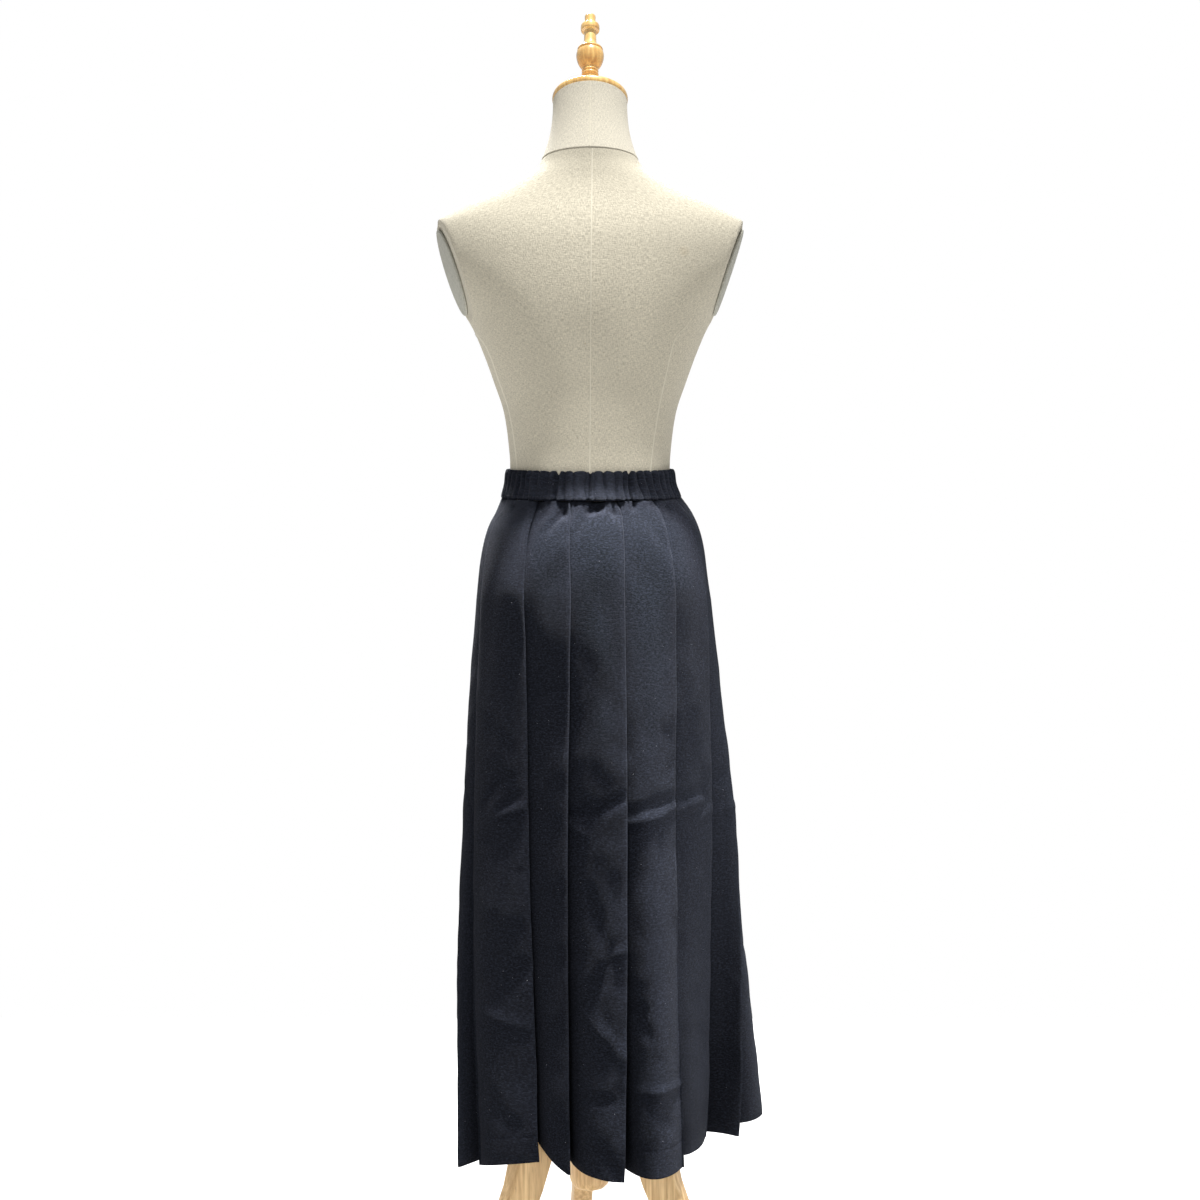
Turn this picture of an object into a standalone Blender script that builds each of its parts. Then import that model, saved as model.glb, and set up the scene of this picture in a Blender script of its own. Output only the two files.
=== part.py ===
"""Pleated maxi skirt with a gathered elastic waistband, worn by a limbless dress form on a wooden tripod.

Metres, +Z up. The tables are in millimetres, measured from the axis of the stand, with the back of the
skirt towards -Y. All pieces hang on an empty at that axis, so the origin is the middle of the footprint.
Run: blender --background --python part.py
"""

import math
from collections import namedtuple

import bmesh
import bpy

MM = 0.001
SEAM_GAP = 0.3
PANEL_GAP = 0.8

# Where the axis of the stand lies, seen from the middle of the footprint
AXIS_X = -10.9
AXIS_Y = -52.8

# Cloth
CLOTH = 1.5
LAYER_HIP = 2.6
LAYER_WAIST = 2.2
WAIST_TILT = 0.15
HIP_Z = 877.0
HEM_Z = 185.0
FOLD_EDGE = 2.8
HIDDEN_EASE = 1.2
WAIST_UNDERLAY = 0.8

# Waistband: an elastic casing, gathered
BAND_BOTTOM_Z = 1003.5
BAND_HEIGHT = 35.0
BAND_WALL = 2.6
BAND_GAP = 0.45
GATHERS = 56
GATHER_DEPTH = 1.3
POINTS_PER_GATHER = 4

# Dress form and stand
NECK_SEAM_Z = 1424.4
NECK_TOP_TILT = math.radians(14.0)
NECK_TOP_Z = 1500.0
NECK_TOP_Y = 8.0
CAP_RADIUS = 47.5
CAP_THICK = 9.0
POLE_RADIUS = 16.0
FORM_BOTTOM_Z = 762.0
BLOCK_FLAT = 30.0
BLOCK_BOTTOM_Z = 238.0
BLOCK_TOP_Z = 372.0
COLUMN_RADIUS = 26.0
COLUMN_END_Z = 141.0
LEG_THICK = 28.0
LEG_AZIMUTHS = {"stand_leg_left": 215.0, "stand_leg_right": 335.0, "stand_leg_front": 95.0}

# Each fold of the pleats, going round from the left of the back. on_top is 1 where the face before the
# fold lies over the next one, and -1 where the next face lies over it. The angles are degrees round the
# waist and hip, -90 at the middle of the back. over and under are the outer and inner edge of the fold
# at the hem, and lift is how far each hangs above the lowest hem. sway is how far the fold swings to the
# right half-way down. bend steers the face after the fold at the hem.
Fold = namedtuple(
    "Fold",
    "name on_top waist_deg hip_deg underlay over_x over_y over_lift"
    " under_x under_y under_lift sway bend_x bend_y",
)
FOLDS = [
    Fold("left_box", -1, -163, -161, 34, -130.5, -64, 4, -128, -36, 5, -9, -122, -90),
    Fold("box", 1, -127, -125, 34, -63, -95, 17, -61, -71, 35, -2, -48, -101),
    Fold("back_left", 1, -104, -101, 44, -26, -100, 3, -26, -46, 9, -4, -14, -123),
    Fold("back_middle", 1, -74.5, -76, 46, 38.5, -120, 0, 38, -60, 3, 3, 75, -168),
    Fold("back_right", 1, -49, -48, 46, 111.5, -70, 3, 116, -24, 4, -4, 135, -14),
    Fold("right_back", 1, -20, -18, 46, 148.5, 65, 1, 113, 82, 4, 6, 160, 96),
    Fold("right", 1, 8, 8, 14, 190, 72, 0, 160, 118, 5, 18, 214, 96),
    Fold("right_front", 1, 32, 32, 40, 230, 150, 8, 186, 136, 6, 8, 178, 168),
    Fold("front_right", 1, 53, 53, 38, 160, 184, 2, 126, 146, 5, 3, 118, 188),
    Fold("front_middle", 1, 74, 74, 38, 80, 191, 0, 66, 142, 5, 0, 42, 180),
    Fold("front_left", -1, 95, 95, 38, 0, 183, 1, 10, 134, 6, 0, -40, 176),
    Fold("left_front", -1, 116, 116, 38, -74, 154, 0, -42, 116, 5, -3, -106, 132),
    Fold("left_middle", -1, 137, 137, 38, -131, 98, 2, -84, 80, 6, -6, -150, 62),
    Fold("left", -1, 158, 158, 38, -158, 22, 0, -110, 24, 4, -8, -158, -10),
    Fold("left_back", -1, 180, 180, 34, -157, -62, 1, -140, -13, 3, -9, -146, -54),
]
LEFT_SEAM_FOLD = 14
RIGHT_SEAM_FOLD = 7

# The skirt's outline while the pleats lie flat: half-widths from the axis to each side
Level = namedtuple("Level", "z left right back front")
LEVELS = [
    Level(1003.5, 110.0, 114.5, 94.5, 92.5),
    Level(987.0, 117.0, 127.0, 101.0, 99.0),
    Level(967.0, 126.5, 136.5, 109.0, 107.0),
    Level(941.0, 133.5, 143.5, 115.0, 113.0),
    Level(910.0, 138.5, 148.0, 119.0, 117.0),
    Level(877.0, 142.0, 151.5, 121.0, 120.0),
]
HANG_STEPS = 9
HEM_CENTRE = (30.0, 40.0)

# The inside of the waistband, from its bottom edge up
BandRow = namedtuple("BandRow", "up left right back front")
BAND_ROWS = [
    BandRow(0.0, 106.5, 109.5, 89.0, 87.5),
    BandRow(0.5, 101.6, 102.2, 82.4, 82.4),
    BandRow(1.0, 100.3, 100.5, 80.7, 81.1),
]

# Sections of the dress form: half-width, depth behind and before the axis, and how square each one is
Section = namedtuple("Section", "z half_width back front power")
FORM_SECTIONS = [
    Section(762.0, 111.0, 84.0, 82.0, 2.0),
    Section(772.0, 117.0, 90.0, 88.0, 2.0),
    Section(800.0, 123.0, 97.0, 94.0, 2.0),
    Section(840.0, 127.5, 103.0, 98.5, 2.0),
    Section(875.0, 129.0, 105.0, 100.0, 2.0),
    Section(905.0, 127.0, 103.5, 98.5, 2.0),
    Section(935.0, 120.5, 99.0, 95.5, 2.0),
    Section(962.0, 109.5, 89.5, 87.0, 2.0),
    Section(985.0, 102.3, 82.8, 82.0, 2.0),
    Section(1008.0, 100.3, 80.6, 80.4, 2.0),
    Section(1030.0, 99.6, 79.8, 79.8, 2.0),
    Section(1060.0, 100.6, 80.5, 81.0, 2.0),
    Section(1110.0, 107.5, 86.0, 91.0, 2.15),
    Section(1148.0, 120.0, 93.0, 101.0, 2.2),
    Section(1185.0, 133.5, 99.0, 111.0, 2.25),
    Section(1220.0, 149.0, 103.0, 114.0, 2.3),
    Section(1250.0, 169.0, 104.0, 109.0, 2.3),
    Section(1280.0, 189.0, 102.0, 98.0, 2.3),
    Section(1310.0, 201.0, 97.0, 85.0, 2.3),
    Section(1335.0, 200.0, 88.0, 71.0, 2.3),
    Section(1355.0, 178.0, 78.0, 61.0, 2.25),
    Section(1370.0, 147.0, 71.0, 56.0, 2.2),
    Section(1385.0, 115.0, 65.0, 53.5, 2.1),
    Section(1400.0, 84.0, 61.0, 54.0, 2.05),
    Section(1412.0, 68.0, 58.5, 55.5, 2.0),
    Section(1424.1, 60.0, 57.0, 56.5, 2.0),
]

# The flat ends of the shoulders, where a sleeve would start: two points of each cutting plane
ARM_CUT_TOP = (191.0, 1343.5)
ARM_CUT_BOTTOM = (150.0, 1222.0)
ARM_CUT_TURN = {-1.0: 0.18, 1.0: 0.06}
ARM_PLATE_THICK = 4.0
ARM_PLATE_HALF_DEPTH = 41.0
ARM_PLATE_HALF_HEIGHT = 53.0
ARM_PLATE_Z = 1284.0

# Outline of a leg in its own upright plane: distance from the axis and height of its two edges
LegRow = namedtuple("LegRow", "inner_r inner_z outer_r outer_z")
LEG_ROWS = [
    LegRow(30.3, 262.0, 30.3, 352.0),
    LegRow(47.0, 238.0, 62.0, 334.0),
    LegRow(57.5, 210.0, 92.0, 268.0),
    LegRow(66.0, 185.0, 108.0, 212.0),
    LegRow(77.0, 155.0, 120.0, 164.0),
    LegRow(96.0, 116.0, 138.0, 118.0),
    LegRow(128.0, 73.0, 168.0, 76.0),
    LegRow(172.0, 32.0, 214.0, 44.0),
    LegRow(214.0, 0.0, 262.0, 22.0),
    LegRow(256.0, 0.0, 270.0, 4.0),
]

# Turned outlines: height above the piece's own base and radius
Turn = namedtuple("Turn", "up radius")
CAP_PROFILE = [
    Turn(0.0, 45.5),
    Turn(1.8, 47.2),
    Turn(4.5, CAP_RADIUS),
    Turn(7.2, 47.0),
    Turn(CAP_THICK, 44.5),
]
FINIAL_PROFILE = [
    Turn(0.0, 14.5),
    Turn(3.0, 15.5),
    Turn(6.0, 14.5),
    Turn(9.5, 11.0),
    Turn(19.0, 9.0),
    Turn(30.0, 9.2),
    Turn(33.0, 11.2),
    Turn(36.5, 11.2),
    Turn(38.5, 9.4),
    Turn(41.5, 9.8),
    Turn(47.0, 13.0),
    Turn(52.5, 15.8),
    Turn(58.0, 17.2),
    Turn(63.0, 17.2),
    Turn(67.5, 16.0),
    Turn(69.0, 14.4),
    Turn(71.0, 15.4),
    Turn(74.0, 14.2),
    Turn(78.0, 10.6),
    Turn(83.0, 8.6),
    Turn(89.0, 8.1),
    Turn(91.5, 9.0),
    Turn(94.0, 11.4),
    Turn(98.0, 11.4),
    Turn(100.5, 9.0),
    Turn(102.5, 6.4),
    Turn(109.0, 6.0),
    Turn(116.5, 6.8),
    Turn(119.0, 5.4),
]
POLE_PROFILE = [
    Turn(0.0, POLE_RADIUS),
    Turn(350.0, POLE_RADIUS),
    Turn(366.0, 22.0),
    Turn(378.0, 36.0),
    Turn(389.4, 36.0),
]
COLUMN_PROFILE = [
    Turn(0.0, 12.0),
    Turn(2.5, 18.5),
    Turn(7.0, 23.0),
    Turn(13.0, 25.4),
    Turn(20.0, COLUMN_RADIUS),
    Turn(88.0, COLUMN_RADIUS),
    Turn(96.7, 29.0),
]


def clear_scene():
    """Remove whatever the open file holds."""
    for old in list(bpy.data.objects):
        bpy.data.objects.remove(old, do_unlink=True)


def material(name, color, roughness):
    """A plain Principled material."""
    made = bpy.data.materials.new(name)
    made.use_nodes = True
    shader = made.node_tree.nodes["Principled BSDF"]
    shader.inputs["Base Color"].default_value = (*color, 1.0)
    shader.inputs["Roughness"].default_value = roughness
    return made


def add_object(name, mesh_data, surface, parent, smooth_deg=50.0):
    """Turn a bmesh into a named object that hangs on the axis of the stand."""
    bmesh.ops.recalc_face_normals(mesh_data, faces=mesh_data.faces)
    mesh = bpy.data.meshes.new(name)
    mesh_data.to_mesh(mesh)
    mesh_data.free()
    mesh.materials.append(surface)
    mesh.shade_smooth()
    mesh.set_sharp_from_angle(angle=math.radians(smooth_deg))
    made = bpy.data.objects.new(name, mesh)
    bpy.context.collection.objects.link(made)
    made.parent = parent
    return made


def curve_through(rows, key, at):
    """The row of named sizes at height `at`, on a smooth curve through the table's rows."""
    rows = sorted(rows, key=lambda row: row[key])
    heights = [row[key] for row in rows]
    at = min(max(at, heights[0]), heights[-1])
    low = 0
    while low < len(rows) - 2 and heights[low + 1] < at:
        low += 1
    span = heights[low + 1] - heights[low]
    part = (at - heights[low]) / span
    values = []
    for column in range(len(rows[0])):
        start = rows[low][column]
        end = rows[low + 1][column]
        before = rows[max(low - 1, 0)]
        after = rows[min(low + 2, len(rows) - 1)]
        slope_in = (end - before[column]) / (heights[low + 1] - before[key]) * span
        slope_out = (after[column] - start) / (after[key] - heights[low]) * span
        square = part * part
        cube = square * part
        value = (2 * cube - 3 * square + 1) * start
        value += (cube - 2 * square + part) * slope_in
        value += (3 * square - 2 * cube) * end
        value += (cube - square) * slope_out
        values.append(value)
    return type(rows[0])(*values)


def signed_power(value, power):
    """abs(value) to a power, with the sign of value."""
    return math.copysign(abs(value) ** power, value)


def form_point(section, angle):
    """A point of the dress form's section, at an angle where -90 degrees is the back."""
    across = signed_power(math.cos(angle), 2.0 / section.power)
    along = signed_power(math.sin(angle), 2.0 / section.power)
    depth = section.back if along < 0 else section.front
    return section.half_width * across, depth * along


def add_ring(mesh_data, points):
    """Add one ring of points, given in millimetres."""
    return [mesh_data.verts.new((x * MM, y * MM, z * MM)) for x, y, z in points]


def join_rings(mesh_data, first, second, closed=True):
    """Quads between two rings of as many points."""
    count = len(first)
    for i in range(count if closed else count - 1):
        j = (i + 1) % count
        mesh_data.faces.new((first[i], first[j], second[j], second[i]))


def loft(rings):
    """A closed solid through rings of points, with flat ends."""
    mesh_data = bmesh.new()
    made = [add_ring(mesh_data, ring) for ring in rings]
    for lower, upper in zip(made, made[1:]):
        join_rings(mesh_data, lower, upper)
    mesh_data.faces.new(list(reversed(made[0])))
    mesh_data.faces.new(made[-1])
    return mesh_data


def turned(profile, segments, base_z=0.0):
    """A turned solid round its own upright axis."""
    rings = []
    for row in profile:
        ring = []
        for i in range(segments):
            angle = 2.0 * math.pi * i / segments
            ring.append((row.radius * math.cos(angle), row.radius * math.sin(angle), base_z + row.up))
        rings.append(ring)
    return loft(rings)


def join_skin(mesh_data, rings, closed):
    """Triangles between rings, all slanting the same way, so that two skins stay side by side."""
    count = len(rings[0])
    for lower, upper in zip(rings, rings[1:]):
        for i in range(count if closed else count - 1):
            j = (i + 1) % count
            mesh_data.faces.new((lower[i], lower[j], upper[j]))
            mesh_data.faces.new((lower[i], upper[j], upper[i]))


def wall(outer_rings, inner_rings, closed):
    """A cloth wall between an outer and an inner skin, each a list of rings from the bottom up."""
    mesh_data = bmesh.new()
    outer = [add_ring(mesh_data, ring) for ring in outer_rings]
    inner = [add_ring(mesh_data, ring) for ring in inner_rings]
    join_skin(mesh_data, outer, closed)
    join_skin(mesh_data, inner, closed)
    join_rings(mesh_data, inner[0], outer[0], closed)
    join_rings(mesh_data, outer[-1], inner[-1], closed)
    if closed:
        return mesh_data
    for lower in range(len(outer) - 1):
        upper = lower + 1
        mesh_data.faces.new((outer[lower][0], outer[upper][0], inner[upper][0], inner[lower][0]))
        mesh_data.faces.new((outer[upper][-1], outer[lower][-1], inner[lower][-1], inner[upper][-1]))
    return mesh_data


def unit(x, y):
    """The same direction, one millimetre long."""
    length = math.hypot(x, y)
    return x / length, y / length


def offset_line(points, distance, closed):
    """The line moved sideways in plan, to its right where distance is positive, with mitred corners."""
    moved = []
    count = len(points)
    for i, (x, y, z) in enumerate(points):
        before = points[(i - 1) % count] if closed or i > 0 else None
        after = points[(i + 1) % count] if closed or i < count - 1 else None
        sides = []
        if before:
            dx, dy = unit(x - before[0], y - before[1])
            sides.append((dy, -dx))
        if after:
            dx, dy = unit(after[0] - x, after[1] - y)
            sides.append((dy, -dx))
        nx = sum(side[0] for side in sides)
        ny = sum(side[1] for side in sides)
        length = max(math.hypot(nx, ny), 0.001)
        nx /= length
        ny /= length
        mitre = 1.0 / max(nx * sides[0][0] + ny * sides[0][1], 0.62)
        moved.append((x + nx * distance * mitre, y + ny * distance * mitre, z))
    return moved


def mix(first, second, part):
    """The point or number a part of the way from first to second."""
    if isinstance(first, (int, float)):
        return first + (second - first) * part
    return tuple(a + (b - a) * part for a, b in zip(first, second))


def level_deg(index, waist_part):
    """Angle of a fold at a level, with whole turns added so that the folds keep rising."""
    turns = index // len(FOLDS)
    fold = FOLDS[index % len(FOLDS)]
    return mix(fold.hip_deg, fold.waist_deg, waist_part) + 360.0 * turns


def face_depth(index, deg, waist_part, step):
    """How deep the face after a fold lies under the outline, as a slanted shingle."""
    left = level_deg(index, waist_part)
    right = level_deg(index + 1, waist_part)
    depth_left = step if FOLDS[index % len(FOLDS)].on_top == 1 else 0.0
    depth_right = step if FOLDS[(index + 1) % len(FOLDS)].on_top == -1 else 0.0
    return mix(depth_left, depth_right, (deg - left) / (right - left))


def flat_point(level, deg, depth):
    """A point on the level's outline, moved in by a depth."""
    angle = math.radians(deg)
    across = math.cos(angle)
    along = math.sin(angle)
    half_depth = level.back if along < 0 else level.front
    centre = (level.right - level.left) / 2.0
    half_width = (level.right + level.left) / 2.0
    return centre + (half_width - depth) * across, (half_depth - depth) * along


def flat_face(index, level, waist_part):
    """The face after a fold, with the edges that its neighbours hide, while the pleats lie flat."""
    count = len(FOLDS)
    fold = FOLDS[index]
    following = FOLDS[(index + 1) % count]
    step = 2.0 * mix(LAYER_HIP, LAYER_WAIST, waist_part)
    left = level_deg(index + count, waist_part)
    right = level_deg(index + count + 1, waist_part)
    starts_under = fold.on_top == 1
    ends_under = following.on_top == -1
    face = []
    if starts_under:
        deg = left - tuck_deg(fold, level, waist_part)
        depth = step + face_depth(index + count - 1, deg, waist_part, step)
        face.append(flat_point(level, deg, depth))
    for part in visible_parts(starts_under, ends_under):
        deg = mix(left, right, part)
        face.append(flat_point(level, deg, face_depth(index + count, deg, waist_part, step)))
    if ends_under:
        deg = right + tuck_deg(following, level, waist_part)
        depth = step + face_depth(index + count + 1, deg, waist_part, step)
        face.append(flat_point(level, deg, depth))
    return face


def tuck_deg(fold, level, waist_part):
    """How many degrees of the outline the hidden part of a pleat takes; less at the waist."""
    radius = (level.left + level.right + level.back + level.front) / 4.0
    return math.degrees(fold.underlay * mix(1.0, WAIST_UNDERLAY, waist_part) / radius)


def flat_return(index, level, waist_part):
    """The cloth between the outer and the inner edge of a fold, while the pleats lie flat."""
    count = len(FOLDS)
    fold = FOLDS[index]
    layer = mix(LAYER_HIP, LAYER_WAIST, waist_part)
    cover = index + count - 1 if fold.on_top == 1 else index + count
    left = level_deg(index + count, waist_part)
    hidden = left - fold.on_top * tuck_deg(fold, level, waist_part)
    points = []
    for part in (0.0, 0.5, 1.0):
        deg = mix(left, hidden, part)
        points.append(flat_point(level, deg, layer + face_depth(cover, deg, waist_part, 2.0 * layer)))
    return points


def visible_parts(starts_under, ends_under):
    """Where the points of the visible part of a face lie, from one fold to the next."""
    if starts_under and ends_under:
        return (0.0, 0.5, 1.0)
    if starts_under or ends_under:
        return (0.0, 1.0 / 3.0, 2.0 / 3.0, 1.0)
    return (0.0, 0.25, 0.5, 0.75, 1.0)


def hem_parts(starts_under, ends_under):
    """The same points along the open face at the hem, from its start to its end."""
    if starts_under and ends_under:
        return (0.0, 0.3, 0.5, 0.7, 1.0)
    if starts_under:
        return (0.0, 0.3, 0.55, 0.8, 1.0)
    if ends_under:
        return (0.0, 0.2, 0.45, 0.7, 1.0)
    return (0.0, 0.25, 0.5, 0.75, 1.0)


def hem_face(index):
    """The face after a fold, at the hem, where the pleats stand open."""
    fold = FOLDS[index]
    following = FOLDS[(index + 1) % len(FOLDS)]
    start = fold_edge(fold, fold.on_top == 1)
    end = fold_edge(following, following.on_top == -1)
    bend = (fold.bend_x, fold.bend_y, (start[2] + end[2]) / 2.0)
    face = []
    for part in hem_parts(fold.on_top == 1, following.on_top == -1):
        face.append(mix(mix(start, bend, part), mix(bend, end, part), part))
    return face


def fold_edge(fold, is_under):
    """The inner or the outer edge of a fold at the hem."""
    if is_under:
        return fold.under_x, fold.under_y, HEM_Z + fold.under_lift
    return fold.over_x, fold.over_y, HEM_Z + fold.over_lift


def hanging_face(index, fall):
    """The face after a fold, at a part of the fall from hip to hem."""
    on_top = FOLDS[index].on_top
    ends_under = FOLDS[(index + 1) % len(FOLDS)].on_top == -1
    points = []
    for place, (start, end) in enumerate(zip(flat_face(index, LEVELS[-1], 0.0), hem_face(index))):
        is_hidden = (place == 0 and on_top == 1) or (place == 4 and ends_under)
        x, y = mix(start, end[:2], fall ** HIDDEN_EASE if is_hidden else fall)
        swing = mix(FOLDS[index].sway, FOLDS[(index + 1) % len(FOLDS)].sway, place / 4.0)
        swing *= math.sin(math.pi * fall)
        points.append((x + swing, y, mix(HIP_Z, end[2], fall)))
    return points


def hanging_return(index, over, under, fall):
    """The cloth between the two edges of a fold, kept a fold's width clear of the faces beside it."""
    on_top = FOLDS[index].on_top
    width = mix(LAYER_HIP, FOLD_EDGE, fall) * on_top
    in_x, in_y = unit(under[0] - over[0], under[1] - over[1])
    first = (over[0] + width * in_y, over[1] - width * in_x, over[2])
    last = (under[0] - width * in_y, under[1] + width * in_x, under[2])
    flat = flat_return(index, LEVELS[-1], 0.0)
    round_x = flat[1][0] - (flat[0][0] + flat[2][0]) / 2.0
    round_y = flat[1][1] - (flat[0][1] + flat[2][1]) / 2.0
    rest = (1.0 - fall) ** 2
    x, y, z = mix(first, last, 0.5)
    return [first, (x + rest * round_x, y + rest * round_y, z), last]


def pleats_above_hip(height):
    """For each fold, the points of its return and of the face after it, at a level above the hip."""
    level = curve_through(LEVELS, 0, height)
    waist_part = (height - HIP_Z) / (LEVELS[0].z - HIP_Z)
    tilt = WAIST_TILT * waist_part
    pleats = []
    for index, fold in enumerate(FOLDS):
        back = flat_return(index, level, waist_part)[:: fold.on_top]
        line = back + flat_face(index, level, waist_part)
        pleats.append([(x, y, height + tilt * y) for x, y in line])
    return pleats


def pleats_below_hip(fall):
    """The same points at a part of the fall from hip to hem."""
    faces = [hanging_face(index, fall) for index in range(len(FOLDS))]
    pleats = []
    for index, fold in enumerate(FOLDS):
        before = faces[index - 1][-1]
        after = faces[index][0]
        if fold.on_top == 1:
            back = hanging_return(index, before, after, fall)
        else:
            back = hanging_return(index, after, before, fall)[::-1]
        pleats.append(back + faces[index])
    return pleats


def skirt_panel(first_fold, last_fold):
    """The cloth from the middle of one fold's return to the middle of another's."""
    count = len(FOLDS)
    folds = [i % count for i in range(first_fold, first_fold + (last_fold - first_fold) % count + 1)]
    rings = [pleats_below_hip(step / HANG_STEPS) for step in range(HANG_STEPS, 0, -1)]
    rings += [pleats_above_hip(level.z) for level in reversed(LEVELS)]
    outer = []
    inner = []
    for pleats in rings:
        line = [point for index in folds for point in pleats[index]]
        line = line[1:-6]
        line[0] = mix(line[0], line[1], 0.5 * PANEL_GAP / plan_length(line[0], line[1]))
        line[-1] = mix(line[-1], line[-2], 0.5 * PANEL_GAP / plan_length(line[-1], line[-2]))
        outer.append(offset_line(line, CLOTH / 2.0, False))
        inner.append(offset_line(line, -CLOTH / 2.0, False))
    return wall(outer, inner, False)


def plan_length(first, second):
    """Distance between two points, seen from above."""
    return math.hypot(first[0] - second[0], first[1] - second[1])


def band_point(row, angle, out):
    """A point of the waistband's ring, moved out from its inside."""
    half = (row.left + row.right) / 2.0 + out
    centre = (row.right - row.left) / 2.0
    depth = (row.back if math.sin(angle) < 0 else row.front) + out
    return centre + half * math.cos(angle), depth * math.sin(angle)


def waistband_rings():
    """Outer and inner rings of the waistband, from its bottom edge up."""
    count = GATHERS * POINTS_PER_GATHER
    outer = []
    inner = []
    for row in BAND_ROWS:
        height = BAND_BOTTOM_Z + BAND_GAP + row.up * BAND_HEIGHT
        outer_ring = []
        inner_ring = []
        for i in range(count):
            angle = 2.0 * math.pi * i / count
            wave = GATHER_DEPTH * math.cos(2.0 * math.pi * i / POINTS_PER_GATHER)
            swell = BAND_WALL + wave * (1.0 - 0.5 * row.up) + 0.8 * math.sin(math.pi * row.up)
            x, y = band_point(row, angle, swell)
            outer_ring.append((x, y, height + WAIST_TILT * y))
            x, y = band_point(row, angle, 0.0)
            inner_ring.append((x, y, height + WAIST_TILT * y))
        outer.append(outer_ring)
        inner.append(inner_ring)
    return outer, inner


def form_rings(low, high, steps, around):
    """Rings of the dress form between two heights."""
    rings = []
    for i in range(steps + 1):
        height = mix(low, high, i / steps)
        section = curve_through(FORM_SECTIONS, 0, height)
        ring = []
        for k in range(around):
            x, y = form_point(section, 2.0 * math.pi * k / around)
            ring.append((x, y, height))
        rings.append(ring)
    return rings


def arm_cut_x(side, y, height):
    """How far out a shoulder's flat end lies; its back edge is turned in a little."""
    slope = (ARM_CUT_TOP[0] - ARM_CUT_BOTTOM[0]) / (ARM_CUT_TOP[1] - ARM_CUT_BOTTOM[1])
    return ARM_CUT_TOP[0] + slope * (height - ARM_CUT_TOP[1]) + ARM_CUT_TURN[side] * y


def cut_shoulder(x, y, height):
    """The same point of the torso, brought in to the flat end of its shoulder."""
    if height < ARM_CUT_BOTTOM[1] or height > ARM_CUT_TOP[1] + 12.0:
        return x, y, height
    side = 1.0 if x > 0 else -1.0
    return side * min(abs(x), arm_cut_x(side, y, height)), y, height


def build_torso(surface, parent):
    """The linen torso, from hips to neck seam, with its two flat shoulder ends."""
    rings = form_rings(FORM_BOTTOM_Z, 1222.0, 16, 44)
    rings += form_rings(1222.0, FORM_SECTIONS[-1].z, 16, 44)[1:]
    rings = [[cut_shoulder(*point) for point in ring] for ring in rings]
    return add_object("form_torso", loft(rings), surface, parent, 40.0)


def build_arm_plate(name, side, surface, parent):
    """The oval plate that closes a shoulder."""
    rings = []
    for out, grow in ((1.25 * SEAM_GAP, 1.0), (ARM_PLATE_THICK * 0.6, 1.0), (ARM_PLATE_THICK, 0.95)):
        ring = []
        for i in range(36):
            angle = 2.0 * math.pi * i / 36
            y = ARM_PLATE_HALF_DEPTH * grow * math.cos(angle) - 3.0
            height = ARM_PLATE_Z + ARM_PLATE_HALF_HEIGHT * grow * math.sin(angle)
            ring.append((side * (arm_cut_x(side, y, height) + out), y, height))
        rings.append(ring)
    return add_object(name, loft(rings), surface, parent, 30.0)


def build_neck(surface, parent):
    """The linen neck, with a slanted top under the cap."""
    rings = []
    steps = 6
    for i in range(steps + 1):
        part = i / steps
        half_width = 46.6 + 13.0 * (1.0 - part) ** 2.4
        half_depth = 46.6 + 10.2 * (1.0 - part) ** 2.0
        middle = NECK_TOP_Y * part
        slope = math.tan(NECK_TOP_TILT) * part
        height = mix(NECK_SEAM_Z, NECK_TOP_Z, part)
        ring = []
        for k in range(40):
            angle = 2.0 * math.pi * k / 40
            x = half_width * math.cos(angle)
            y = half_depth * math.sin(angle)
            ring.append((x, y + middle, height - slope * y))
        rings.append(ring)
    return add_object("form_neck", loft(rings), surface, parent)


def build_cap_and_finial(surface, parent):
    """The wooden disc on the neck and the turned finial that stands on it."""
    lean = -NECK_TOP_TILT
    cap = add_object("neck_cap", turned(CAP_PROFILE, 40), surface, parent)
    finial = add_object("neck_finial", turned(FINIAL_PROFILE, 18), surface, parent)
    for piece, gap in ((cap, SEAM_GAP), (finial, 2.0 * SEAM_GAP + CAP_THICK)):
        up = gap + 0.1
        piece.location = (
            0.0,
            (NECK_TOP_Y + up * math.sin(NECK_TOP_TILT)) * MM,
            (NECK_TOP_Z + up * math.cos(NECK_TOP_TILT)) * MM,
        )
        piece.rotation_euler = (lean, 0.0, 0.0)


def build_leg(name, azimuth, surface, parent):
    """One curved leg, cut from a plank that stands in its own upright plane."""
    rings = []
    for i, row in enumerate(LEG_ROWS):
        half = LEG_THICK / 2.0 - 0.25 * i
        ring = [
            (row.inner_r, -half, row.inner_z),
            (row.outer_r, -half, row.outer_z),
            (row.outer_r, half, row.outer_z),
            (row.inner_r, half, row.inner_z),
        ]
        rings.append(ring)
    leg = add_object(name, loft(rings), surface, parent, 30.0)
    leg.rotation_euler = (0.0, 0.0, math.radians(azimuth))
    return leg


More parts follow.
